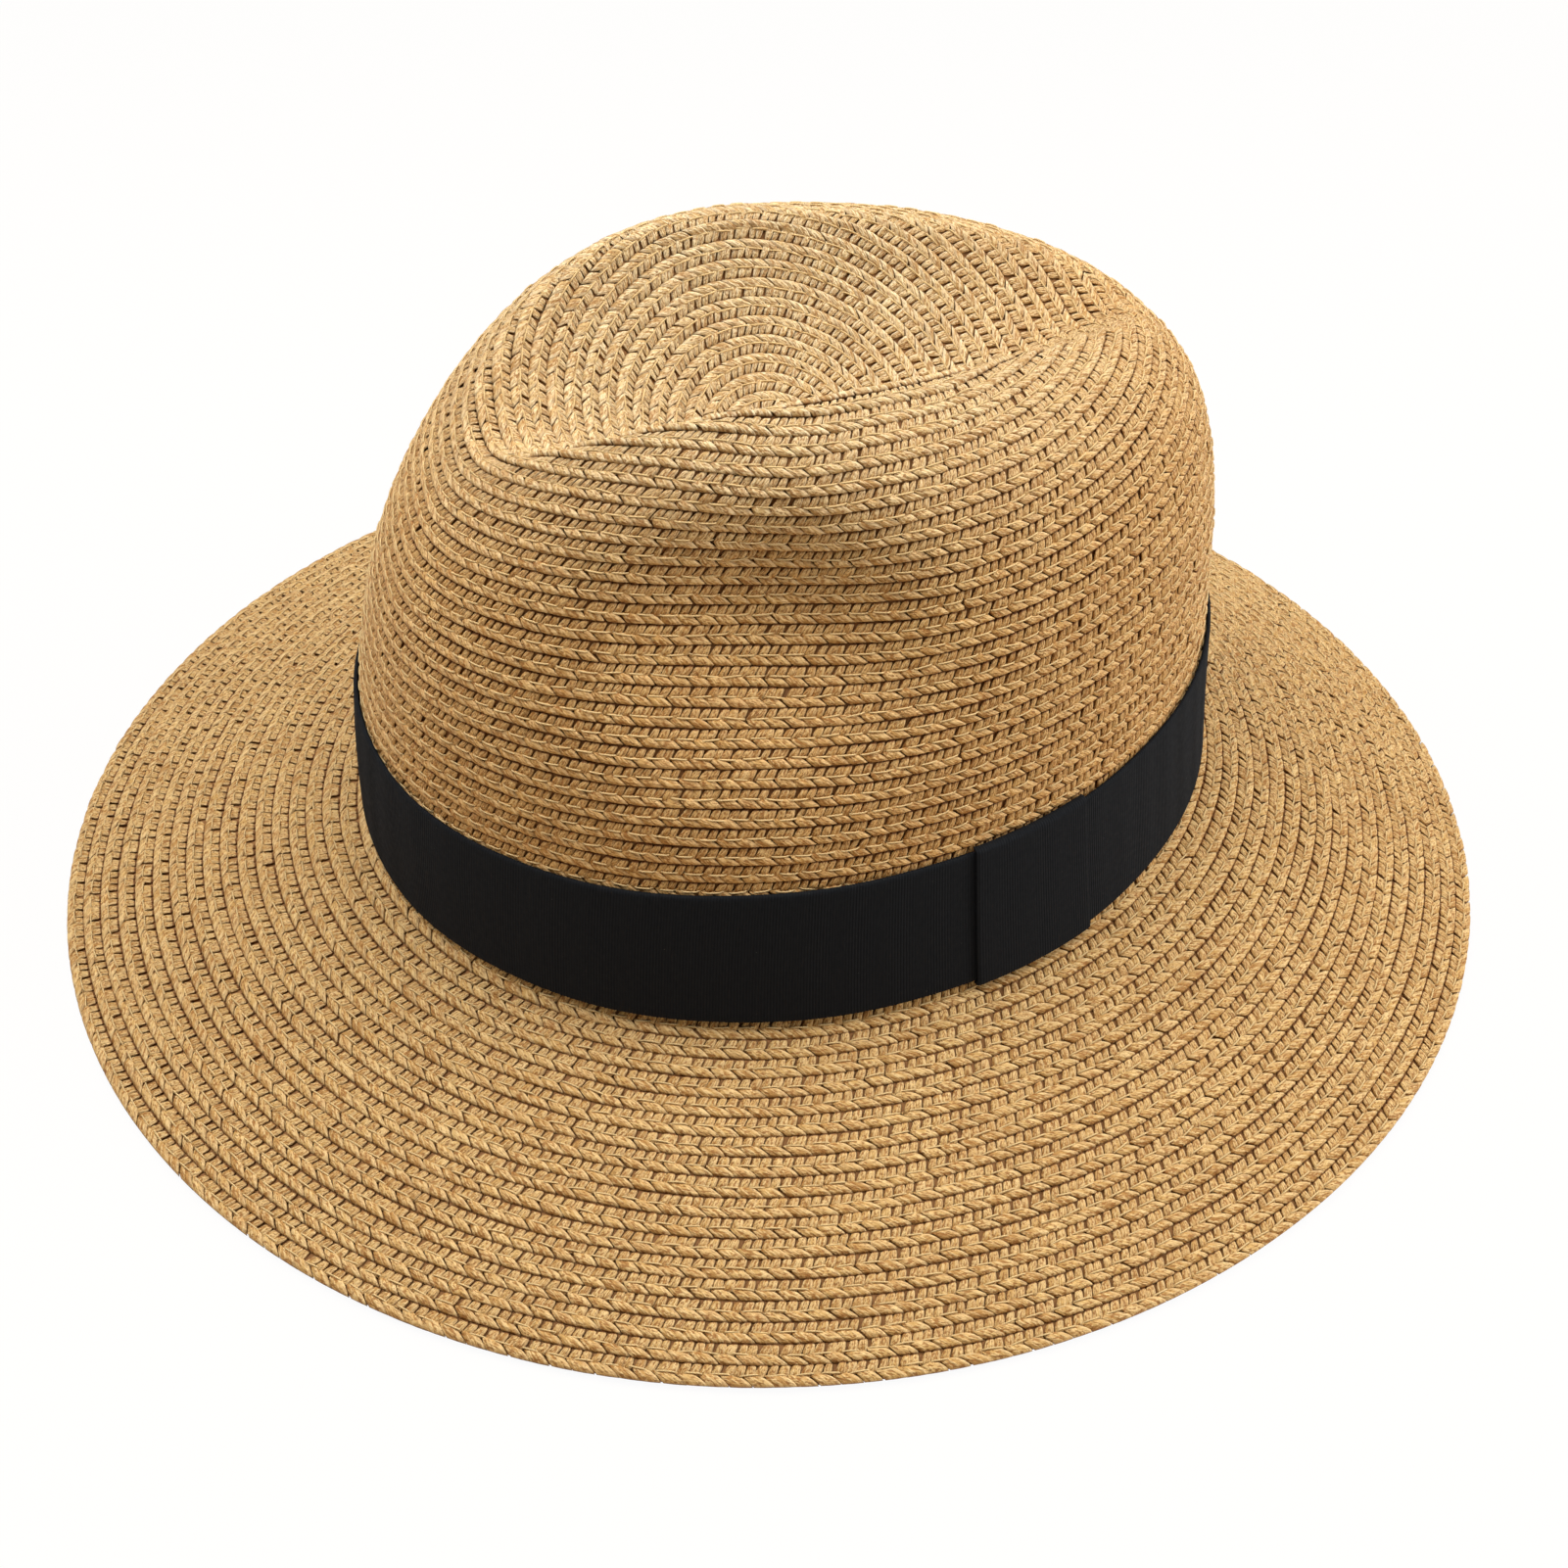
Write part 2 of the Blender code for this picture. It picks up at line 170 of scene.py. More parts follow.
# How unlike each other strands are, before their looseness: shares of size and slant, the others in mm
SIZE_SPREAD = 0.06
LIFT_SPREAD = 0.07
ROLL_SPREAD = 0.08
SLANT_SPREAD = 0.16
SHIFT_SPREAD = 0.12

# Sewing thread between the two kinds of strand. Its sway and tilt are in rows, its lift and dive in mm.
THREAD_PITCH = 0.0055
THREAD_LENGTH = 0.0042
THREAD_RADIUS = 0.00019
THREAD_ROW = 0.52
THREAD_DEPTH = -0.00006
THREAD_LIFT_SPREAD = 0.10
THREAD_SWAY_SPREAD = 0.02
THREAD_TILT_SPREAD = 0.03
THREAD_DIVE = 0.60
THREAD_DIVE_POWER = 5
THREAD_STATIONS = 6
THREAD_CORNERS = 4

# Layer under the strands, its rows given as for the braid. The last row's layer stops short of the edge.
BACKING_DEPTH = -0.00105
BACKING_RIDGE = 0.00035
BACKING_COLUMNS = 400
BACKING_PER_ROW = 5
BACKING_FIRST = 0.02
BACKING_EDGE_SHARE = 0.93
HEAD_PLAITS = 200
EDGE_PLAITS = 360
PLAIT_LEAN = 7.0
# Depth at which a strand's depth value is full; the straw's painted shade grows with that value
DEEPEST = 0.0014

# How far the rows' outer edges stand off where the straw is folded over a ridge
FOLD_START = 0.17
FOLD_LIFT = 0.0030
FOLD_MOST = 0.0008
FOLD_SMOOTHING = 9
FOLD_FROM = 0.45
FOLD_SPAN = 0.5

# Ribbon: ribs, selvedges as distance from the edge and sinking, and slow waves as length and turn
RIB_PITCH = 0.00066
RIB_HEIGHT = 0.00005
SAMPLES_PER_RIB = 4
SELVEDGE = ((0.0, 0.00030), (0.0002, 0.00005), (0.0010, 0.0))
SELVEDGE_WIDTH = 0.0025
BAND_FACE_POINTS = 5
BAND_WAVES = ((0.047, 0.0), (0.083, 1.3))
BAND_WAVE_HEIGHT = 0.00010

# Keeper: folds round the band's edges, small creases under its upper edge, and how it thins toward its
# sides, as depth and width
KEEPER_FOLD_RADIUS = 0.0007
KEEPER_FOLD_STEPS = 5
KEEPER_FACE_POINTS = 38
KEEPER_CREASES = (0.0008, 0.0020, 0.0031)
KEEPER_CREASE_DEPTH = 0.00012
KEEPER_CREASE_WIDTH = 0.00035
KEEPER_CREASE_REACH = 1.2
KEEPER_THINNING = (0.00028, 0.0002)

# Sweatband and tape: edges as distance from the edge and sinking, and thinning as for the keeper
SWEATBAND_STEP = 0.0010
SWEATBAND_HEM = ((0.0, 0.0003), (0.0003, 0.0))
SWEATBAND_ROLL = ((0.0, 0.0004), (0.0004, -0.0001), (0.0015, -0.0002), (0.0022, 0.0002))
SWEATBAND_FLAT_FROM = 0.002
SWEATBAND_FLAT_SHORT = 0.003
TAPE_STEP = 0.0005
TAPE_HEM = ((0.0, 0.0002), (0.0003, 0.0))
TAPE_FLAT_FROM = 0.001
TAPE_THINNING = (0.0004, 0.0004)
STRIP_FACE_POINTS = 8

# Stitches and tacks
STITCH_PITCH = 0.0034
STITCH_HALF_SHARE = 0.37
STITCH_STATIONS = 7
STITCH_SINK = 0.0005
STITCH_SLANT = 0.0001
STITCH_STAND_SHARE = 0.6
STITCH_THREAD_SHARE = 0.8
TACK_TURNS = 4
TACK_STATIONS = 9
TACK_LIFT = 0.00022
TACK_SINK = 0.0005
TUBE_CORNERS = 6

# Places in a tube's cell of the baking map
CELL_MARGIN = 0.03
CELL_FIRST_CAP = (0.02, 0.10)
CELL_WALL = (0.12, 0.88)
CELL_LAST_CAP = (0.90, 0.98)

# Colours: a strand's hue by its chance value, and painted light by the straw's place from tip to edge:
# paler toward the tip, where more light falls, and warmer down the wall and brim, which lie more in shade
STRAW_HUES = (
    (0.0, (0.50, 0.305, 0.120)),
    (0.25, (0.61, 0.40, 0.175)),
    (0.55, (0.69, 0.485, 0.220)),
    (0.80, (0.74, 0.545, 0.275)),
    (1.0, (0.66, 0.445, 0.222)),
)
STRAW_PAINTED_LIGHT = (
    (0.16, (1.0, 1.0, 1.0)),
    (0.37, (0.90, 0.74, 0.54)),
    (0.62, (0.87, 0.69, 0.48)),
    (0.72, (0.89, 0.76, 0.57)),
)
STRAW_PALE = (0.90, 0.73, 0.44)
STRAW_CREASE = (0.34, 0.160, 0.050)
STRAW_TEA = (0.46, 0.255, 0.094)
# Painted highlight along one side of each strand
STRAW_GLINT = (0.92, 0.78, 0.52)
# Painted shade: slits between strands, tips tucked under the row above, and strands that dive deep
STRAW_SHADE = (0.15, 0.052, 0.016)
INSIDE_DARK = (0.30, 0.155, 0.052)
INSIDE_PALE = (0.64, 0.41, 0.17)
INSIDE_CLOUD = (0.50, 0.28, 0.095)
INSIDE_SEAM = (0.16, 0.070, 0.022)
# Painted shade: the face of the layer under the strands, seen in the gaps between them
GAP_SHADE_DARK = (0.20, 0.084, 0.027)
GAP_SHADE_PALE = (0.36, 0.175, 0.060)
SEWING_THREAD = ((0.58, 0.39, 0.17), (0.80, 0.60, 0.30))
TACK_THREAD = ((0.006, 0.006, 0.007), (0.016, 0.016, 0.017))
STITCH_THREAD = ((0.55, 0.44, 0.27), (0.72, 0.60, 0.40))
RIBBON_BLACK = (0.0022, 0.0026, 0.0033)
RIBBON_WORN = (0.0050, 0.0056, 0.0068)
RIBBON_RIB = (0.0122, 0.0134, 0.0160)
RIBBON_LINT = (0.20, 0.19, 0.17)
COTTON_DARK = (0.50, 0.42, 0.29)
COTTON_PALE = (0.66, 0.57, 0.41)
COTTON_CLOUD = (0.56, 0.47, 0.33)
TWILL_PITCH = 0.0011

# Camera, in the head frame
CAMERA_AZIMUTH = 65.0
CAMERA_ELEVATION = 42.4
CAMERA_DISTANCE = 0.630
IMAGE_SIZE = 1601.0
FOCAL_PIXELS = 2760.0
MIDDLE_X = 803.0
MIDDLE_Y = 747.0
SENSOR = 36.0
NEAREST_SEEN = 0.01

# Floor, and lights: place, diameter and power
FLOOR_HALF = 3.0
FLOOR_HEIGHT = -0.0002
FLOOR_COLOUR = (0.85, 0.71, 0.52)
FLOOR_GLOW = 0.95
FILL = 0.04
LAMPS = {
    "top": ((0.0, 0.0, 0.85), 0.7, 4.5),
    "left": ((-0.20, -0.43, 0.80), 0.7, 5.5),
    "right": ((0.42, 0.91, 0.60), 0.9, 11.0),
}

SEED = 7
TURN = 2.0 * math.pi


def head_to_world(points):
    """Lean points of the head frame forward and lift them over the brim edge."""
    lean = math.radians(HEAD_TILT_DEGREES)
    x, y, z = points[..., 0], points[..., 1], points[..., 2]
    level_y = y * math.cos(lean) - z * math.sin(lean)
    level_z = y * math.sin(lean) + z * math.cos(lean) + HEAD_HEIGHT
    return np.stack([x, level_y, level_z], axis=-1)


def blend_round(angle, side, front, back):
    """A value at an angle round the head, from its values at the sides, the front and the back."""
    across = np.cos(angle) ** 2
    toward_back = 0.5 + 0.5 * np.tanh(FULLNESS_BLEND * np.sin(angle))
    return side * across + (front + (back - front) * toward_back) * (1.0 - across)


def fullness(angle):
    """Power of the dome's upright superellipse at an angle round the head."""
    return blend_round(angle, SIDE_FULLNESS, FRONT_FULLNESS, BACK_FULLNESS)


def narrowed(angle, spread, rise):
    """A spread on the dome, drawn in by the crown's taper at its rise."""
    return spread * (1.0 - blend_round(angle, SIDE_TAPER, 0.0, BACK_TAPER) * rise ** TAPER_POWER)


def crease(x, y):
    """How far the top is pressed down at a place in plan."""
    length = np.where(y < CREASE_CENTRE, CREASE_FRONT_LENGTH, CREASE_BACK_LENGTH)
    across = np.abs(x / CREASE_HALF_WIDTH) ** CREASE_POINTEDNESS
    along = np.abs((y - CREASE_CENTRE) / length) ** CREASE_POINTEDNESS
    inside = np.logaddexp(0.0, CREASE_SHARPNESS * (1.0 - across - along)) / CREASE_SHARPNESS
    return CREASE_DEPTH * inside


def pinch(angle, rise):
    """Sideways shift, in x and y, of the two front pinches."""
    shift_x = np.zeros_like(angle + rise)
    shift_y = np.zeros_like(angle + rise)
    for side in (1.0, -1.0):
        centre = math.radians(-90.0 + side * PINCH_DEGREES_FROM_FRONT)
        turn = (angle - centre + math.pi) % TURN - math.pi
        reach = (turn / math.radians(PINCH_SPREAD_DEGREES)) ** 2
        reach = reach + ((CROWN_HEIGHT * rise - PINCH_HEIGHT) / PINCH_TALLNESS) ** 2
        depth = PINCH_DEPTH * np.exp(-reach)
        shift_x = shift_x - depth * math.cos(centre)
        shift_y = shift_y - depth * math.sin(centre)
    return shift_x, shift_y


def crown_meridian(angle, climb):
    """Points of the creased crown's outer face, from its tip at climb 0 to the band line at 1."""
    power = 2.0 / fullness(angle)
    spread = np.sin(climb * math.pi / 2) ** power
    rise = np.cos(climb * math.pi / 2) ** power
    reach = narrowed(angle, spread, rise)
    x = HEAD_HALF_WIDTH * reach * np.cos(angle)
    y = HEAD_HALF_LENGTH * reach * np.sin(angle) + CROWN_LEAN * rise ** 2
    z = CROWN_HEIGHT * rise - CROWN_BACK_DROP * rise * y / HEAD_HALF_LENGTH - crease(x, y)
    shift_x, shift_y = pinch(angle, rise)
    return head_to_world(np.stack([x + shift_x, y + shift_y, z], axis=-1))


def from_first_turn(angle, climb):
    """Angle and climb on the crown for a line out from the spiral's start, forward of the middle."""
    spread = np.sin(climb * math.pi / 2) ** (2.0 / fullness(angle))
    x = spread * np.cos(angle)
    y = spread * np.sin(angle) - FIRST_TURN_FORWARD * (1.0 - spread ** 2) ** 2
    turned = np.arctan2(y, x)
    moved = np.minimum(np.hypot(x, y), 1.0)
    return turned, np.arcsin(moved ** (fullness(turned) / 2.0)) * 2.0 / math.pi


def outward(angle):
    """Level unit direction out of the head oval."""
    x = np.cos(angle) / HEAD_HALF_WIDTH
    y = np.sin(angle) / HEAD_HALF_LENGTH
    size = np.hypot(x, y)
    return x / size, y / size


def wall_point(angle, height, out):
    """World point at a height on the crown's wall, a distance out of its outer face."""
    rise = height / (CROWN_HEIGHT - CROWN_BACK_DROP * np.sin(angle))
    rise = np.maximum(rise, 0.0)
    power = fullness(angle)
    spread = (1.0 - rise ** power) ** (1.0 / power)
    reach = narrowed(angle, spread, rise)
    out_x, out_y = outward(angle)
    shift_x, shift_y = pinch(angle, rise)
    x = HEAD_HALF_WIDTH * reach * np.cos(angle) + out * out_x + shift_x
    y = HEAD_HALF_LENGTH * reach * np.sin(angle) + CROWN_LEAN * rise ** 2 + out * out_y + shift_y
    return head_to_world(np.stack([x, y, height + np.zeros_like(x)], axis=-1))


def arc_angle(length, angle):
    """Turn of the oval's parameter that covers a length along the wall."""
    speed = math.hypot(HEAD_HALF_WIDTH * math.sin(angle), HEAD_HALF_LENGTH * math.cos(angle))
    return length / speed


def brim_meridian(angles, samples):
    """Points of the brim's upper face, from the band line to the edge."""
    foot = head_to_world(np.stack([HEAD_HALF_WIDTH * np.cos(angles), HEAD_HALF_LENGTH * np.sin(angles),
                                   np.zeros_like(angles)], axis=-1))
    slope = np.full_like(angles, math.radians(FIRST_SLOPE_DEGREES))
    for _ in range(SLOPE_PASSES):
        edge = STRAW_THICKNESS / np.cos(slope) - EDGE_FLAT * np.tan(slope)
        drop = foot[:, 2] - BRIM_TURN_RADIUS * np.cos(slope) - edge
        run = BRIM_WIDTH - BRIM_TURN_RADIUS * (1.0 - np.sin(slope))
        slope = np.arctan2(drop, run)
    turned = BRIM_TURN_RADIUS * (math.pi / 2 - slope)
    length = turned + np.hypot(drop, run)
    along = length[:, None] * np.linspace(0.0, 1.0, samples)
    heading = math.pi / 2 - np.minimum(along, turned[:, None]) / BRIM_TURN_RADIUS
    straight = np.maximum(along - turned[:, None], 0.0)
    out = BRIM_TURN_RADIUS * (1.0 - np.sin(heading)) + straight * np.cos(slope)[:, None]
    down = BRIM_TURN_RADIUS * np.cos(heading) + straight * np.sin(slope)[:, None]
    out_x, out_y = outward(angles)
    x = foot[:, 0, None] + out * out_x[:, None]
    y = foot[:, 1, None] + out * out_y[:, None]
    return np.stack([x, y, foot[:, 2, None] - down], axis=-1)


class Straw:
    """The straw's outer face as a grid over angle and row, with its outward direction."""

    def __init__(self):
        angles = np.arange(GRID_ANGLES) * (TURN / GRID_ANGLES)
        even = np.linspace(0.0, 1.0, MERIDIAN_SAMPLES)
        climbs = even ** 3 * (10.0 - 15.0 * even + 6.0 * even ** 2)  # closer together at both ends
        dense = crown_meridian(*from_first_turn(angles[:, None], climbs[None, :]))
        steps = np.linalg.norm(np.diff(dense, axis=1), axis=-1)
        reach = np.concatenate([np.zeros((GRID_ANGLES, 1)), np.cumsum(steps, axis=1)], axis=1)
        marks = np.linspace(0.0, 1.0, CROWN_ROWS * GRID_PER_ROW + 1)
        crown = np.empty((GRID_ANGLES, marks.size, 3))
        for index in range(GRID_ANGLES):
            for axis in range(3):
                wanted = marks * reach[index, -1]
                crown[index, :, axis] = np.interp(wanted, reach[index], dense[index, :, axis])
        brim = brim_meridian(angles, BRIM_ROWS * GRID_PER_ROW + 1)
        self.points = np.concatenate([crown, brim[:, 1:]], axis=1)
        self.out = self.directions()
        self.lift = self.fold_lift()

    def directions(self):
        """Unit directions out of the straw's face."""
        around = np.roll(self.points, -1, axis=0) - np.roll(self.points, 1, axis=0)
        down = np.gradient(self.points, axis=1)
        facing = np.cross(down, around)
        facing[:, 0] = facing[:, 2].mean(axis=0)  # the tip is one point, with no direction of its own
        facing[:, 1] = facing[:, 2]
        return facing / np.linalg.norm(facing, axis=-1, keepdims=True)

    def fold_lift(self):
        """How far a row's outer edge stands off, from how sharply the face bends across the row."""
        down = np.gradient(self.points, axis=1)
        bend = (np.gradient(self.out, axis=1) * down).sum(axis=-1) / np.linalg.norm(down, axis=-1)
        window = np.ones(FOLD_SMOOTHING) / FOLD_SMOOTHING
        turn = np.apply_along_axis(np.convolve, 1, bend * GRID_PER_ROW, window, "same")
        return np.clip(FOLD_LIFT * (turn - FOLD_START), 0.0, FOLD_MOST)[..., None]

    def look_up(self, grid, angle, row):
        """Values of a grid at angles and rows."""
        column = (angle / TURN % 1.0) * GRID_ANGLES
        left = np.floor(column).astype(int) % GRID_ANGLES
        right = (left + 1) % GRID_ANGLES
        sideways = (column - np.floor(column))[..., None]
        line = row * GRID_PER_ROW
        top = np.clip(np.floor(line).astype(int), 0, self.points.shape[1] - 2)
        downward = (line - top)[..., None]
        upper = grid[left, top] * (1 - sideways) + grid[right, top] * sideways
        lower = grid[left, top + 1] * (1 - sideways) + grid[right, top + 1] * sideways
        return upper * (1 - downward) + lower * downward

    def place(self, angle, row, height):
        """World points at angles and rows, a height out of the face."""
        out = self.look_up(self.out, angle, row)
        return self.look_up(self.points, angle, row) + out * np.asarray(height)[..., None]


def run_lengths(points):
    """Length from the first of a row of points to each of them."""
    steps = np.linalg.norm(np.diff(points, axis=0), axis=-1)
    return np.concatenate([[0.0], np.cumsum(steps)])


class Run:
    """A run of braid: angles and rows of its upper edge, measured along its length."""

    def __init__(self, straw, angles, rows, closed):
        self.straw = straw
        self.angles = angles
        self.rows = rows + self.sway(angles, rows)
        self.lengths = run_lengths(straw.place(angles, self.rows + 0.5, np.zeros_like(angles)))
        self.closed = closed

    def sway(self, angles, rows):
        """How far sewing by hand strays from an even row, in rows. The brim's last row doesn't stray."""
        stray = np.zeros_like(angles)
        if rows[-1] < CROWN_ROWS + BRIM_ROWS - 1:
            for waves, size, turn in ROW_SWAY:
                stray = stray + size * np.sin(waves * angles + turn * np.round(rows))
        return np.minimum(np.maximum(rows, 0.0) / FULL_SWAY_ROW, 1.0) * stray

    def centres(self, pitch):
        """Places of repeats along the run, at about a pitch, which is closer toward the crown's tip."""
        closeness = np.interp(self.rows[1:], *columns(EDGE_CLOSENESS))
        repeats = np.concatenate([[0.0], np.cumsum(np.diff(self.lengths) / (pitch * closeness))])
        count = max(3, round(repeats[-1]))
        marks = (np.arange(count) + 0.5) * (repeats[-1] / count)
        return np.interp(marks, repeats, self.lengths)

    def place(self, along, across, height):
        """World points at lengths along the run and shares of a row across it."""
        total = self.lengths[-1]
        wrapped = along % total if self.closed else np.clip(along, 0.0, total)
        angle = np.interp(wrapped, self.lengths, self.angles)
        row = np.interp(wrapped, self.lengths, self.rows)
        opened = self.straw.look_up(self.straw.lift, angle, row + across)[..., 0]
        opened = opened * np.clip((across - FOLD_FROM) / FOLD_SPAN, 0.0, 1.0)
        return self.straw.place(angle, row + across, height + opened)


def crown_run(straw, first, last):
    """The spiral from one row to another."""
    turns = np.linspace(first, last, int((last - first) * SPIRAL_STEPS_PER_TURN) + 1)
    return Run(straw, turns * TURN, np.maximum(turns - 0.5, -0.5), False)


def ring_run(straw, row):
    """One row of the brim, closed on itself."""
    angles = np.linspace(0.0, TURN, RING_STEPS + 1)
    return Run(straw, angles, np.full_like(angles, row), True)


def brim_runs(straw, first, last):
    """Rows of the brim, from one up to another."""
    return [ring_run(straw, CROWN_ROWS + row) for row in range(first, last)]


def tube_faces(stations, ring, closed):
    """Faces of a tube through stations with a ring of corners each, and each corner's place in a unit cell.

    A closed tube joins its last station to its first. An open one is capped at both ends.
    """
    faces = []
    cells = []
    spans = stations if closed else stations - 1
    levels = np.linspace(*CELL_WALL, spans + 1)
    sides = np.linspace(CELL_MARGIN, 1.0 - CELL_MARGIN, ring + 1)
    for span, (bottom, top) in enumerate(zip(levels[:-1], levels[1:])):
        low = span * ring
        high = (span + 1) % stations * ring
        for corner, (left, right) in enumerate(zip(sides[:-1], sides[1:])):
            beside = (corner + 1) % ring
            faces.append((low + corner, high + corner, high + beside, low + beside))
            cells.append(((left, bottom), (left, top), (right, top), (right, bottom)))
    if not closed:
        last = (stations - 1) * ring
        sides = np.linspace(CELL_MARGIN, 1.0 - CELL_MARGIN, ring // 2)
        for strip, (left, right) in enumerate(zip(sides[:-1], sides[1:])):
            corners = (strip, strip + 1, ring - 2 - strip, ring - 1 - strip)
            faces.append(corners)
            faces.append(tuple(last + corner for corner in corners[::-1]))
            for bottom, top in (CELL_FIRST_CAP, CELL_LAST_CAP):
                cells.append(((left, bottom), (right, bottom), (right, top), (left, top)))
    return np.array(faces), np.array(cells)


def tubes_object(name, points, closed, material, layers, slot, node=None):
    """One smooth object from tubes of like build: points by tube, station and ring corner.

    Its layers are values that its material reads. It takes the place of a solid's node if one is given.
    """
    count, stations, ring = points.shape[:3]
    pattern, cells = tube_faces(stations, ring, closed)
    starts = np.arange(count) * (stations * ring)
    faces = (starts[:, None, None] + pattern[None]).reshape(-1, 4)
    side = math.ceil(math.sqrt(count))
    corners = np.stack([np.arange(count) % side, np.arange(count) // side], axis=-1)
    places = (corners[:, None, None, :] + cells[None]) / side
    mesh = bpy.data.meshes.new(name)
    mesh.vertices.add(count * stations * ring)
    mesh.vertices.foreach_set("co", points.astype(np.float32).ravel())
    mesh.loops.add(faces.size)
    mesh.loops.foreach_set("vertex_index", faces.astype(np.int32).ravel())
    mesh.polygons.add(len(faces))
    mesh.polygons.foreach_set("loop_start", np.arange(0, faces.size, 4, dtype=np.int32))
    mesh.update(calc_edges=True)
    for layer, values in layers.items():
        attribute = mesh.attributes.new(layer, "FLOAT", "POINT")
        spread = np.broadcast_to(values, points.shape[:3])
        attribute.data.foreach_set("value", spread.astype(np.float32).ravel())
    baking = mesh.uv_layers.new(name="OFBake")
    baking.data.foreach_set("uv", places.astype(np.float32).ravel())
    mesh.shade_smooth()
    mesh.materials.append(material)
    piece = bpy.data.objects.new(name, mesh)
    bpy.context.scene.collection.objects.link(piece)
    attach(piece, "root")
    if node:
        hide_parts(node)
    return piece


def columns(table):
    """The columns of a table of stations or ring corners."""
    return [np.array(column) for column in zip(*table)]


def braid_strands(run, centres, table, ring_table, half, lean, looseness, random):
    """Strands laid across a run at centres along it, from a table of stations and a ring of corners."""
    across, tops, reach, dark_sides, dark = (column[:, None] for column in columns(table))
    side, drop = columns(ring_table)
    middle = centres[:, None, None]
    size = 1.0 + looseness * SIZE_SPREAD * random.standard_normal(middle.shape)
    lift = looseness * LIFT_SPREAD * MM * random.standard_normal(middle.shape)
    roll = looseness * ROLL_SPREAD * MM * random.standard_normal(middle.shape)
    slant = lean * (1.0 + looseness * SLANT_SPREAD * random.standard_normal(middle.shape))
    shift = looseness * SHIFT_SPREAD * MM * random.standard_normal(middle.shape)
    share = (across - across[0]) / (across[-1] - across[0])
    along = middle + shift + slant * (share - 0.5) + half[:, None, None] * size * reach * side
    height = lift + MM * (tops + drop) + roll * side
    made = strands(run, along, across, height, 2.0 * share - 1.0, side, random)
    rows = np.interp(middle, run.lengths, run.rows)
    # Painted shade: tips tucked under the row above, weaker toward the crown's tip, and the strands'
    # outermost corners at the slits.
    tucked = np.interp(rows, *columns(TUCKED_SHADE)) * dark
    flanks = np.floor(np.abs(side))  # 1 at the ring's outermost corners only
    made["shade"] = np.maximum(tucked, dark_sides * flanks)
    made["row"] = np.broadcast_to(rows, made["shade"].shape)
    return made


def edge_strands(run, random):
    """Slanting flat-topped strands along the row's outer edge."""
    centres = run.centres(EDGE_PITCH)
    pitch = np.gradient(centres)
    return braid_strands(run, centres, EDGE_STATIONS, EDGE_RING, pitch, EDGE_LEAN, EDGE_LOOSENESS, random)


def cross_strands(run, random):
    """Short strands, in pairs, that run from under the row above to under the row's own edge strands."""
    pairs = run.centres(EDGE_PITCH)
    steps = np.gradient(pairs) / CROSS_PER_EDGE
    offsets = (np.arange(CROSS_PER_EDGE) - (CROSS_PER_EDGE - 1) / 2) * CROSS_CLOSENESS
    centres = (pairs[:, None] + offsets[None, :] * steps[:, None]).ravel()
    half = np.repeat(steps / (EDGE_PITCH / CROSS_PER_EDGE), CROSS_PER_EDGE) * MM
    return braid_strands(run, centres, CROSS_STATIONS, CROSS_RING, half, CROSS_LEAN, CROSS_LOOSENESS,
                         random)


def sewing_thread(run, random):
    """Sewing thread between the two kinds of strand, one stitch after another."""
    centres = run.centres(THREAD_PITCH)[:, None, None]
    share = np.linspace(-1.0, 1.0, THREAD_STATIONS)[:, None]
    turns = np.arange(THREAD_CORNERS) * (TURN / THREAD_CORNERS)
    lift = THREAD_DEPTH + THREAD_LIFT_SPREAD * MM * random.standard_normal(centres.shape)
    sway = THREAD_SWAY_SPREAD * random.standard_normal(centres.shape)
    tilt = THREAD_TILT_SPREAD * random.standard_normal(centres.shape)
    along = centres + share * THREAD_LENGTH / 2
    across = THREAD_ROW + sway + tilt * share - THREAD_RADIUS / ROW_PITCH * np.cos(turns)
    dive = THREAD_DIVE * MM * np.abs(share) ** THREAD_DIVE_POWER
    height = lift - dive + THREAD_RADIUS * np.sin(turns)
    return strands(run, along, across, height, share, np.cos(turns), random)


def strands(run, along, across, height, share, side, random):
    """World points of many strands, with the values their material reads."""
    shape = np.broadcast_shapes(along.shape, across.shape, height.shape)
    along, across, height = (np.broadcast_to(values, shape) for values in (along, across, height))
    return {
        "points": run.place(along, across, height),
        "strand": np.broadcast_to(random.random((shape[0], 1, 1)), shape),
        "lengthwise": np.broadcast_to(share, shape),
        "sideways": np.broadcast_to(side, shape),
        # how deep below the face, which the straw's material darkens as painted shade
        "depth": np.clip(-height / DEEPEST, 0.0, 1.0),
    }


def make_braid(straw, straw_material, thread_material):
    """Every row of the braid, section by section."""
    random = np.random.default_rng(SEED)
    edge = BRIM_ROWS - 1
    sections = {
        "crown_tip": [crown_run(straw, FIRST_TURN, SHOULDER_ROW)],
        "crown_shoulder": [crown_run(straw, SHOULDER_ROW, TIP_ROWS)],
        "crown_side": [crown_run(straw, TIP_ROWS, FOOT_ROW)],
        "crown_foot": [crown_run(straw, FOOT_ROW, BAND_TOP_ROW + 1)],
        "brim_inner": brim_runs(straw, 0, BRIM_MIDDLE_ROW),
        "brim_middle": brim_runs(straw, BRIM_MIDDLE_ROW, BRIM_OUTER_ROW),
        "brim_outer": brim_runs(straw, BRIM_OUTER_ROW, edge),
        "brim_edge": brim_runs(straw, edge, BRIM_ROWS),
    }
    for name, runs in sections.items():
        for make, material, slot in ((edge_strands, straw_material, "straw"),
                                     (cross_strands, straw_material, "straw"),
                                     (sewing_thread, thread_material, "thread")):
            groups = [make(run, random) for run in runs]
            layers = {key: np.concatenate([group[key] for group in groups]) for key in groups[0]}
            points = layers.pop("points")
            tubes_object(f"{name}_{make.__name__}", points, False, material, layers, slot)


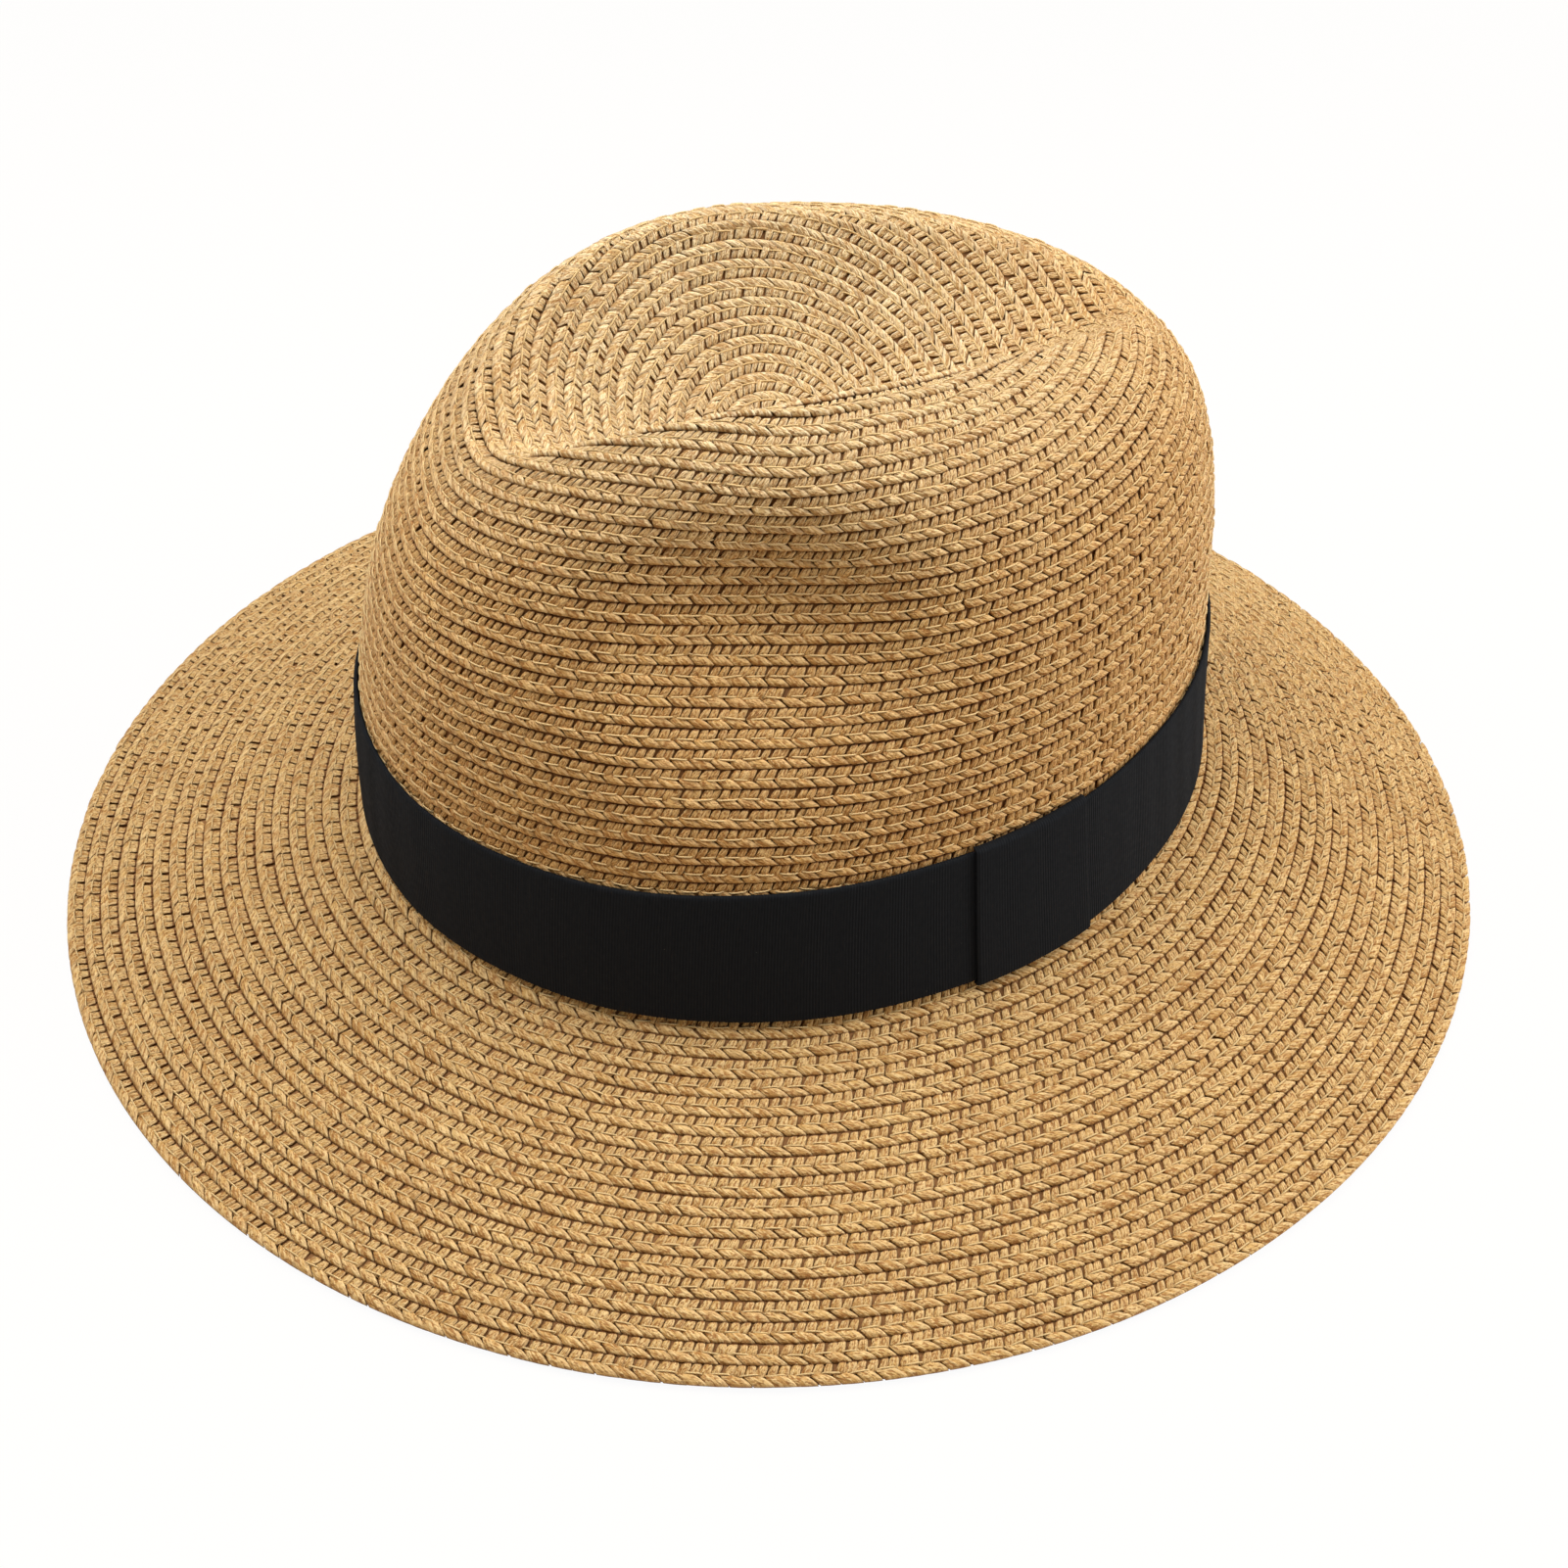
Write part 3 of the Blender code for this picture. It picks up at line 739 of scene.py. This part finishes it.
def make_backing(name, node, straw, first, last, material):
    """Closed inner layer of a section of the straw, under its strands."""
    rows = np.linspace(last, first, int((last - first) * BACKING_PER_ROW) + 1)
    angles = np.arange(BACKING_COLUMNS) * (TURN / BACKING_COLUMNS)
    angles, rows = np.meshgrid(angles, rows, indexing="ij")
    ridge = BACKING_RIDGE * np.abs(np.cos(rows * math.pi))
    outer = straw.place(angles, rows, np.full_like(rows, BACKING_DEPTH))
    inner = straw.place(angles, rows, ridge - STRAW_THICKNESS)
    points = np.concatenate([outer, inner[:, ::-1]], axis=1)
    layers = {
        "row": np.concatenate([rows, rows[:, ::-1]], axis=1),
        "inside": np.concatenate([np.zeros_like(rows), np.ones_like(rows)], axis=1),
    }
    tubes_object(name, points[None], True, material, layers, "straw", node)


def wall_strip(name, node, angles, outline, ripple, material, slot):
    """Strip on the crown's wall, from an outline of (out, height) corners and a ripple outward."""
    outs, heights = columns(outline)
    corners = []
    for corner, height in enumerate(heights):
        corners.append(wall_point(angles, height, outs[corner] + ripple[:, corner]))
    points = np.stack(corners, axis=1)
    layers = {"along": run_lengths(points[:, 0])[:, None], "up": heights}
    return tubes_object(name, points[None], False, material, layers, slot, node)


def even_angles(start, stop, step):
    """Angles at even steps along the wall, about a step apart, and their lengths along it."""
    dense = np.linspace(start, stop, WALL_SAMPLES)
    lengths = run_lengths(wall_point(dense, BAND_HEIGHT / 2, 0.0))
    count = max(2, round(lengths[-1] / step))
    marks = np.linspace(0.0, lengths[-1], count + 1)
    return np.interp(marks, lengths, dense), marks


def strip_outline(inner, outer, heights):
    """Corners of an upright strip: up its outer face and down its inner one."""
    return [(outer, height) for height in heights] + [(inner, height) for height in heights[::-1]]


def strip_face(low, high, lower_edge, upper_edge, flat):
    """Heights on a strip's face and how far it sinks there. An edge is a table of distance and sinking."""
    lower, lower_sink = columns(lower_edge)
    upper, upper_sink = columns(upper_edge[::-1])
    heights = np.concatenate([low + lower, flat, high - upper])
    return heights, np.concatenate([lower_sink, np.zeros(flat.size), upper_sink])


def ribs(marks):
    """Ribs of the ribbon's weave, at lengths along it."""
    return RIB_HEIGHT * np.cos(TURN * marks / RIB_PITCH)


def sides_thinned(marks, depth, width):
    """How far a strip is thinned toward its two ends, at lengths along it."""
    return depth * np.exp(-np.minimum(marks, marks[-1] - marks) / width)


def make_hat_band(material):
    """Ribbed ribbon round the foot of the crown, its ends meeting under the keeper."""
    keeper = math.radians(KEEPER_DEGREES)
    half_gap = arc_angle(BAND_END_GAP, keeper) / 2
    angles, marks = even_angles(keeper + half_gap, keeper + TURN - half_gap, RIB_PITCH / SAMPLES_PER_RIB)
    flat = np.linspace(SELVEDGE_WIDTH, BAND_HEIGHT - SELVEDGE_WIDTH, BAND_FACE_POINTS)
    heights, sink = strip_face(0.0, BAND_HEIGHT, SELVEDGE, SELVEDGE, flat)
    outline = strip_outline(CLEARANCE, CLEARANCE + RIBBON_THICKNESS, heights)
    ripple = np.zeros((marks.size, len(outline)))
    ripple[:, :len(heights)] = ribs(marks)[:, None] - sink
    for length, turn in BAND_WAVES:
        ripple = ripple + BAND_WAVE_HEIGHT * np.sin(TURN * marks / length + turn)[:, None]
    piece = wall_strip("hat_band_ribbon", "hat_band", angles, outline, ripple, material, "ribbon")


def keeper_fold(face, level, turns):
    """Corners of a fold in the keeper's ribbon, in (out, height)."""
    outs = face - KEEPER_FOLD_RADIUS * (1 - np.cos(turns))
    return list(zip(outs, level + KEEPER_FOLD_RADIUS * np.sin(turns)))


def keeper_path():
    """Middle line of the keeper's ribbon in (out, height): round the band's lower edge and over its top."""
    face = 2 * CLEARANCE + 1.5 * RIBBON_THICKNESS
    tuck = face - 2 * KEEPER_FOLD_RADIUS
    low = -CLEARANCE - RIBBON_THICKNESS / 2 + KEEPER_FOLD_RADIUS
    high = BAND_HEIGHT + CLEARANCE + RIBBON_THICKNESS / 2 - KEEPER_FOLD_RADIUS
    bend = np.linspace(-math.pi / 2, 0.0, KEEPER_FOLD_STEPS)
    path = [(tuck, low - KEEPER_FOLD_RADIUS), *keeper_fold(face, low, bend)]
    path.extend((face, height) for height in np.linspace(low, high, KEEPER_FACE_POINTS)[1:-1])
    path.extend(keeper_fold(face, high, bend + math.pi / 2))
    path.append((tuck, high + KEEPER_FOLD_RADIUS))
    return np.array(path)


def make_keeper(material):
    """Flat loop of ribbon over the band's ends, folded in over both of its edges."""
    centre = math.radians(KEEPER_DEGREES)
    half_turn = arc_angle(KEEPER_WIDTH, centre) / 2
    angles, marks = even_angles(centre - half_turn, centre + half_turn, RIB_PITCH / SAMPLES_PER_RIB)
    path = keeper_path()
    heading = np.gradient(path, axis=0)
    heading = heading / np.linalg.norm(heading, axis=1, keepdims=True)
    aside = np.stack([heading[:, 1], -heading[:, 0]], axis=1) * (RIBBON_THICKNESS / 2)
    outline = np.concatenate([path + aside, (path - aside)[::-1]])
    below_top = path[:, 1].max() - path[:, 1]
    folds = np.zeros(len(path))
    for place in KEEPER_CREASES:
        folds = folds - KEEPER_CREASE_DEPTH * np.exp(-((below_top - place) / KEEPER_CREASE_WIDTH) ** 2)
    fade = np.clip(KEEPER_CREASE_REACH - marks / marks[-1], 0.0, 1.0)
    thin = sides_thinned(marks, *KEEPER_THINNING)
    ripple = np.zeros((marks.size, len(outline)))
    ripple[:, :len(path)] = (ribs(marks) - thin)[:, None] + fade[:, None] * folds
    piece = wall_strip("band_keeper_loop", "band_keeper", angles, outline, ripple, material, "ribbon")


def sweatband_face():
    """Distance out, which is negative, of the sweatband's face toward the head."""
    return -(STRAW_THICKNESS + CLEARANCE + SWEATBAND_THICKNESS)


def make_sweatband(material):
    """Twill strip inside the crown's foot with a rolled upper edge, its ends meeting at the back."""
    back = math.pi / 2
    half_gap = arc_angle(SWEATBAND_END_GAP, back) / 2
    angles, marks = even_angles(back + half_gap, back + TURN - half_gap, SWEATBAND_STEP)
    low = SWEATBAND_LIFT
    high = SWEATBAND_LIFT + SWEATBAND_HEIGHT
    flat = np.linspace(low + SWEATBAND_FLAT_FROM, high - SWEATBAND_FLAT_SHORT, STRIP_FACE_POINTS)
    heights, sink = strip_face(low, high, SWEATBAND_HEM, SWEATBAND_ROLL, flat)
    face = sweatband_face()
    outline = strip_outline(face, face + SWEATBAND_THICKNESS, heights)
    ripple = np.zeros((marks.size, len(outline)))
    ripple[:, len(heights):] = sink[::-1]
    piece = wall_strip("sweatband_strip", "sweatband", angles, outline, ripple, material, "cotton")


def make_join_tape(material):
    """Short tape over the sweatband's join, with rounded edges."""
    back = math.pi / 2
    half_turn = arc_angle(TAPE_WIDTH, back) / 2
    angles, marks = even_angles(back - half_turn, back + half_turn, TAPE_STEP)
    outer = sweatband_face() - CLEARANCE
    low = SWEATBAND_LIFT + STITCH_LIFT + STITCH_RADIUS + TAPE_EDGE_MARGIN
    high = SWEATBAND_LIFT + SWEATBAND_HEIGHT - TAPE_EDGE_MARGIN
    flat = np.linspace(low + TAPE_FLAT_FROM, high - TAPE_FLAT_FROM, STRIP_FACE_POINTS)
    heights, sink = strip_face(low, high, TAPE_HEM, TAPE_HEM, flat)
    outline = strip_outline(outer - TAPE_THICKNESS, outer, heights)
    ripple = np.zeros((marks.size, len(outline)))
    thin = sides_thinned(marks, *TAPE_THINNING)
    ripple[:, len(heights):] = thin[:, None] + sink[::-1]
    piece = wall_strip("sweatband_tape", "sweatband_join_tape", angles, outline, ripple, material, "cotton")


def thread_tubes(name, node, paths, radius, material, slot):
    """Round threads along paths of world points, by thread and station."""
    ahead = np.gradient(paths, axis=1)
    ahead = ahead / np.linalg.norm(ahead, axis=-1, keepdims=True)
    level = paths * np.array([1.0, 1.0, 0.0])
    aside = np.cross(ahead, level)
    aside = aside / np.linalg.norm(aside, axis=-1, keepdims=True)
    above = np.cross(aside, ahead)
    turns = np.arange(TUBE_CORNERS) * (TURN / TUBE_CORNERS)
    ring = np.cos(turns)[:, None] * aside[:, :, None, :] + np.sin(turns)[:, None] * above[:, :, None, :]
    layers = {
        "lengthwise": np.linspace(-1.0, 1.0, paths.shape[1])[:, None],
        "sideways": np.cos(turns),
    }
    tubes_object(name, paths[:, :, None, :] + radius * ring, False, material, layers, slot, node)


def make_stitching(material):
    """Running stitches that sew the sweatband to the straw."""
    angles, _ = even_angles(0.0, TURN, STITCH_PITCH)
    middle = (angles[:-1] + angles[1:]) / 2
    share = np.linspace(-1.0, 1.0, STITCH_STATIONS)
    reach = np.diff(angles)[:, None] * STITCH_HALF_SHARE * share
    sink = STITCH_SINK * np.abs(share) ** 4
    face = sweatband_face() - STITCH_RADIUS * STITCH_STAND_SHARE
    height = SWEATBAND_LIFT + STITCH_LIFT + STITCH_SLANT * share
    paths = wall_point(middle[:, None] + reach, height, face + sink)
    radius = STITCH_RADIUS * STITCH_THREAD_SHARE
    thread_tubes("sweatband_stitches", "sweatband_stitching", paths, radius, material, "thread")


def make_tacks(material):
    """Bars of black thread that hold the band, each of a few turns side by side."""
    face = CLEARANCE + RIBBON_THICKNESS
    radius = TACK_WIDTH / (2 * TACK_TURNS)
    share = np.linspace(-1.0, 1.0, TACK_STATIONS)
    heights = BAND_HEIGHT - TACK_BELOW_EDGE - TACK_LENGTH / 2 + share * TACK_LENGTH / 2
    out = face + TACK_LIFT - TACK_SINK * np.abs(share) ** 6
    places = (np.arange(TACK_TURNS) - (TACK_TURNS - 1) / 2) / TACK_TURNS
    for number, degrees in enumerate(TACK_DEGREES, start=1):
        centre = math.radians(degrees)
        angles = centre + arc_angle(TACK_WIDTH, centre) * places[:, None]
        paths = wall_point(angles, heights, out)
        thread_tubes(f"band_tack_{number}_thread", f"band_tack_{number}", paths, radius, material, "ribbon")


class Look:
    """Node material on a Principled shader, with short ways to add nodes."""

    def __init__(self, name, roughness):
        self.material = bpy.data.materials.new(name)
        self.material.use_nodes = True
        self.tree = self.material.node_tree
        self.shader = self.tree.nodes["Principled BSDF"]
        self.shader.inputs["Roughness"].default_value = roughness

    def feed(self, socket, value):
        """Link a socket, or set a constant on one."""
        if isinstance(value, bpy.types.NodeSocket):
            self.tree.links.new(value, socket)
        else:
            socket.default_value = value

    def layer(self, name):
        """A value stored at the mesh's points."""
        node = self.tree.nodes.new("ShaderNodeAttribute")
        node.attribute_name = name
        return node.outputs["Fac"]

    def place(self):
        """Position in the piece's own frame."""
        return self.tree.nodes.new("ShaderNodeTexCoord").outputs["Object"]

    def angle(self):
        """Turn round the upright axis of the piece's own frame."""
        node = self.tree.nodes.new("ShaderNodeSeparateXYZ")
        self.feed(node.inputs["Vector"], self.place())
        return self.math("ARCTAN2", node.outputs["Y"], node.outputs["X"])

    def math(self, operation, first, second=0.0):
        """Sum, product or the like of two values, or an operation on one."""
        node = self.tree.nodes.new("ShaderNodeMath")
        node.operation = operation
        self.feed(node.inputs[0], first)
        self.feed(node.inputs[1], second)
        return node.outputs["Value"]

    def wave(self, value, pitch):
        """Sine of a length, from 0 to 1, that repeats at a pitch."""
        turned = self.math("MULTIPLY", value, TURN / pitch)
        return self.span(self.math("SINE", turned), -1.0, 1.0, 0.0, 1.0)

    def span(self, value, low, high, to_low, to_high):
        """A value moved from one range to another, held at the ends."""
        node = self.tree.nodes.new("ShaderNodeMapRange")
        self.feed(node.inputs["Value"], value)
        node.inputs["From Min"].default_value = low
        node.inputs["From Max"].default_value = high
        node.inputs["To Min"].default_value = to_low
        node.inputs["To Max"].default_value = to_high
        return node.outputs["Result"]

    def point(self, x, y, z):
        """A point from three values."""
        node = self.tree.nodes.new("ShaderNodeCombineXYZ")
        for socket, value in zip(node.inputs, (x, y, z)):
            self.feed(socket, value)
        return node.outputs["Vector"]

    def noise(self, place, scale, detail):
        """Cloudy value at a place."""
        node = self.tree.nodes.new("ShaderNodeTexNoise")
        self.feed(node.inputs["Vector"], place)
        node.inputs["Scale"].default_value = scale
        node.inputs["Detail"].default_value = detail
        return node.outputs["Fac"]

    def ramp(self, value, stops):
        """Colour from a row of (place, colour) stops."""
        node = self.tree.nodes.new("ShaderNodeValToRGB")
        band = node.color_ramp
        for place, colour in stops[1:-1]:
            band.elements.new(place).color = (*colour, 1.0)
        band.elements[0].position, band.elements[-1].position = stops[0][0], stops[-1][0]
        band.elements[0].color = (*stops[0][1], 1.0)
        band.elements[-1].color = (*stops[-1][1], 1.0)
        self.feed(node.inputs["Fac"], value)
        return node.outputs["Color"]

    def mix(self, share, first, second, kind="MIX"):
        """Colour between two, or their product or the like."""
        node = self.tree.nodes.new("ShaderNodeMix")
        node.data_type = "RGBA"
        node.blend_type = kind
        sockets = [socket for socket in node.inputs if socket.type == "RGBA"]
        self.feed(node.inputs["Factor"], share)
        for socket, value in zip(sockets, (first, second)):
            self.feed(socket, (*value, 1.0) if isinstance(value, tuple) else value)
        return [socket for socket in node.outputs if socket.type == "RGBA"][0]

    def bump(self, height, strength, distance):
        """Fine relief on the shader's normal."""
        node = self.tree.nodes.new("ShaderNodeBump")
        node.inputs["Strength"].default_value = strength
        node.inputs["Distance"].default_value = distance
        self.feed(node.inputs["Height"], height)
        self.feed(self.shader.inputs["Normal"], node.outputs["Normal"])

    def finish(self, **sockets):
        """Set or link the shader's own sockets."""
        for name, value in sockets.items():
            socket = self.shader.inputs[name.replace("_", " ")]
            self.feed(socket, (*value, 1.0) if isinstance(value, tuple) else value)
        return self.material


def straw_look():
    """Paper straw: strands of unlike golden tans with crumpled fibres, with painted shade where they dive,
    in their slits and under the row above, a painted highlight along one side of each, and painted light
    that is paler toward the crown's tip.
    """
    look = Look("straw", 0.5)
    strand = look.layer("strand")
    side = look.layer("sideways")
    length = look.layer("lengthwise")
    seed = look.math("MULTIPLY", strand, 91.0)
    fine = look.point(look.math("MULTIPLY", side, 3.4), look.math("MULTIPLY", length, 0.6), seed)
    fibres = look.noise(fine, 1.0, 3.0)
    broad = look.point(look.math("MULTIPLY", side, 1.6), look.math("MULTIPLY", length, 1.4), seed)
    crumple = look.noise(broad, 1.6, 2.0)
    tea = look.noise(look.place(), 70.0, 2.0)
    colour = look.ramp(strand, STRAW_HUES)
    colour = look.mix(look.span(fibres, 0.47, 0.57, 0.0, 1.0), colour, STRAW_PALE)
    colour = look.mix(look.span(crumple, 0.40, 0.49, 0.85, 0.0), colour, STRAW_CREASE)
    colour = look.mix(look.span(tea, 0.35, 0.70, 0.0, 0.25), colour, STRAW_TEA)
    # Painted highlight: paler along one side of each strand, beside the slit.
    colour = look.mix(look.span(side, 0.35, 0.80, 0.0, 0.50), colour, STRAW_GLINT)
    # Painted light: paler toward the crown's tip, where more light falls, and warmer down the wall and
    # brim.
    from_tip = look.span(look.layer("row"), 0.0, CROWN_ROWS + BRIM_ROWS, 0.0, 1.0)
    colour = look.mix(1.0, colour, look.ramp(from_tip, STRAW_PAINTED_LIGHT), "MULTIPLY")
    # Painted shade: dark in the slits, on tips tucked under the row above, and where strands dive deep.
    colour = look.mix(look.span(look.layer("shade"), 0.45, 0.90, 0.0, 0.92), colour, STRAW_SHADE)
    colour = look.mix(look.span(look.layer("depth"), 0.45, 0.90, 0.0, 0.70), colour, STRAW_SHADE)
    look.bump(look.math("ADD", fibres, crumple), 0.8, 0.0005)
    rough = look.span(fibres, 0.3, 0.7, 0.58, 0.40)
    return look.finish(Base_Color=colour, Roughness=rough, Specular_IOR_Level=0.15)


def backing_look():
    """Inner layer of the straw: its outer face dark reddish brown as painted shade between the strands, and
    plaited rows on the inside of the hat.
    """
    look = Look("straw_inside", 0.75)
    row = look.layer("row")
    whole = look.math("FLOOR", row)
    from_middle = look.math("ABSOLUTE", look.math("SUBTRACT", look.math("SUBTRACT", row, whole), 0.5))
    crown_plaits = look.span(whole, 0.0, TIP_ROWS, 0.0, HEAD_PLAITS)
    brim_plaits = look.span(whole, CROWN_ROWS, CROWN_ROWS + BRIM_ROWS, 0.0, EDGE_PLAITS - HEAD_PLAITS)
    plaits = look.math("FLOOR", look.math("ADD", crown_plaits, brim_plaits))
    lean = look.math("MULTIPLY", from_middle, PLAIT_LEAN)
    plait = look.wave(look.math("ADD", look.math("MULTIPLY", look.angle(), plaits), lean), TURN)
    cloud = look.noise(look.place(), 400.0, 3.0)
    inner = look.mix(plait, INSIDE_DARK, INSIDE_PALE)
    inner = look.mix(look.span(cloud, 0.3, 0.7, 0.0, 0.5), inner, INSIDE_CLOUD)
    inner = look.mix(look.span(from_middle, 0.36, 0.50, 0.0, 0.8), inner, INSIDE_SEAM)
    # Painted shade: the layer's face seen in the gaps between strands.
    outer = look.mix(cloud, GAP_SHADE_DARK, GAP_SHADE_PALE)
    colour = look.mix(look.layer("inside"), outer, inner)
    look.bump(plait, 0.6, 0.0004)
    return look.finish(Base_Color=colour, Specular_IOR_Level=0.25)


def thread_look(name, dark, pale):
    """Spun thread with a twist along it."""
    look = Look(name, 0.7)
    twist = look.math("ADD", look.math("MULTIPLY", look.layer("lengthwise"), 3.0), look.layer("sideways"))
    spun = look.wave(twist, 0.9)
    colour = look.mix(spun, dark, pale)
    return look.finish(Base_Color=colour, Specular_IOR_Level=0.25)


def ribbon_look():
    """Black ribbed ribbon, matt, with a little lint."""
    look = Look("ribbon", 0.8)
    cloud = look.noise(look.place(), 900.0, 3.0)
    rib = look.wave(look.layer("along"), RIB_PITCH)
    lint = look.noise(look.place(), 1500.0, 1.0)
    colour = look.mix(cloud, RIBBON_BLACK, RIBBON_WORN)
    colour = look.mix(look.math("MULTIPLY", rib, 0.6), colour, RIBBON_RIB)
    colour = look.mix(look.span(lint, 0.80, 0.86, 0.0, 0.35), colour, RIBBON_LINT)
    rough = look.span(cloud, 0.3, 0.7, 0.75, 0.92)
    return look.finish(Base_Color=colour, Roughness=rough, Specular_IOR_Level=0.11)


def cotton_look():
    """Pale cotton twill with slanting ribs."""
    look = Look("cotton", 0.9)
    twill = look.wave(look.math("ADD", look.layer("along"), look.layer("up")), TWILL_PITCH)
    cloud = look.noise(look.place(), 500.0, 3.0)
    colour = look.mix(twill, COTTON_DARK, COTTON_PALE)
    colour = look.mix(look.span(cloud, 0.3, 0.7, 0.0, 0.35), colour, COTTON_CLOUD)
    look.bump(twill, 0.5, 0.0002)
    return look.finish(Base_Color=colour, Specular_IOR_Level=0.2)


def make_camera():
    """Camera at the photograph's place."""
    azimuth = math.radians(CAMERA_AZIMUTH)
    elevation = math.radians(CAMERA_ELEVATION)
    back = np.array([math.sin(azimuth) * math.cos(elevation), -math.cos(azimuth) * math.cos(elevation),
                     math.sin(elevation)])
    right = np.array([math.cos(azimuth), math.sin(azimuth), 0.0])
    up = np.cross(back, right)
    frame = np.identity(4)
    frame[:3] = np.stack([right, up, back, CAMERA_DISTANCE * back], axis=1)
    lens = bpy.data.cameras.new("camera")
    lens.sensor_width = SENSOR
    lens.lens = FOCAL_PIXELS / IMAGE_SIZE * SENSOR
    lens.shift_x = (IMAGE_SIZE / 2 - MIDDLE_X) / IMAGE_SIZE
    lens.shift_y = (MIDDLE_Y - IMAGE_SIZE / 2) / IMAGE_SIZE
    lens.clip_start = NEAREST_SEEN
    camera = bpy.data.objects.new("camera", lens)
    bpy.context.scene.collection.objects.link(camera)
    lean = Matrix.Rotation(math.radians(HEAD_TILT_DEGREES), 4, "X")
    lift = Matrix.Translation((0.0, 0.0, HEAD_HEIGHT))
    camera.matrix_world = lift @ lean @ Matrix(frame.tolist())
    bpy.context.scene.camera = camera


def seen_as_background(tree):
    """1 for rays that show the background: straight from the camera, or by way of gloss or glass."""
    path = tree.nodes.new("ShaderNodeLightPath")
    seen = path.outputs["Is Camera Ray"]
    for name in ("Is Glossy Ray", "Is Transmission Ray"):
        node = tree.nodes.new("ShaderNodeMath")
        node.operation = "MAXIMUM"
        tree.links.new(seen, node.inputs[0])
        tree.links.new(path.outputs[name], node.inputs[1])
        seen = node.outputs["Value"]
    return seen


def make_floor():
    """Pale floor that reads white and keeps a faint shadow."""
    mesh = bpy.data.meshes.new("floor")
    sides = ((-1, -1), (1, -1), (1, 1), (-1, 1))
    mesh.from_pydata([(x * FLOOR_HALF, y * FLOOR_HALF, FLOOR_HEIGHT) for x, y in sides], [], [(0, 1, 2, 3)])
    floor = bpy.data.objects.new("floor", mesh)
    bpy.context.scene.collection.objects.link(floor)
    look = Look("floor", 0.9)
    look.finish(Base_Color=FLOOR_COLOUR)
    glow = look.tree.nodes.new("ShaderNodeEmission")
    both = look.tree.nodes.new("ShaderNodeMixShader")
    share = look.span(seen_as_background(look.tree), 0.0, 1.0, 0.0, FLOOR_GLOW)
    look.feed(both.inputs["Fac"], share)
    look.feed(both.inputs[1], look.shader.outputs["BSDF"])
    look.feed(both.inputs[2], glow.outputs["Emission"])
    look.feed(look.tree.nodes["Material Output"].inputs["Surface"], both.outputs["Shader"])
    mesh.materials.append(look.material)


def make_lights():
    """Faint light from all round, and soft lamps overhead and beside."""
    world = bpy.data.worlds.new("studio")
    world.use_nodes = True
    bpy.context.scene.world = world
    sky = world.node_tree.nodes["Background"]
    sky.inputs["Color"].default_value = (1.0, 1.0, 1.0, 1.0)
    level = world.node_tree.nodes.new("ShaderNodeMapRange")
    level.inputs["To Min"].default_value = FILL
    level.inputs["To Max"].default_value = 1.0
    world.node_tree.links.new(seen_as_background(world.node_tree), level.inputs["Value"])
    world.node_tree.links.new(level.outputs["Result"], sky.inputs["Strength"])
    for name, (place, size, power) in LAMPS.items():
        lamp = bpy.data.lights.new(name, "AREA")
        lamp.shape = "DISK"
        lamp.size = size
        lamp.energy = power
        holder = bpy.data.objects.new(name, lamp)
        bpy.context.scene.collection.objects.link(holder)
        holder.location = place
        holder.rotation_euler = Vector(place).to_track_quat("Z", "Y").to_euler()


def main():
    """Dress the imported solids."""
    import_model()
    bpy.context.scene.view_settings.view_transform = "Standard"
    make_camera()
    make_floor()
    make_lights()
    straw = Straw()
    make_braid(straw, straw_look(), thread_look("sewing_thread", *SEWING_THREAD))
    backing = backing_look()
    edge_first = CROWN_ROWS + BRIM_ROWS - 1
    make_backing("crown_tip_backing", "crown_tip", straw, BACKING_FIRST, TIP_ROWS, backing)
    make_backing("crown_side_backing", "crown_side", straw, TIP_ROWS, CROWN_ROWS, backing)
    make_backing("brim_backing", "brim", straw, CROWN_ROWS, edge_first, backing)
    edge_last = edge_first + BACKING_EDGE_SHARE
    make_backing("brim_edge_backing", "brim_edge_row", straw, edge_first, edge_last, backing)
    ribbon = ribbon_look()
    make_hat_band(ribbon)
    make_keeper(ribbon)
    make_tacks(thread_look("tack_thread", *TACK_THREAD))
    cotton = cotton_look()
    make_sweatband(cotton)
    make_join_tape(cotton)
    make_stitching(thread_look("stitch_thread", *STITCH_THREAD))


main()
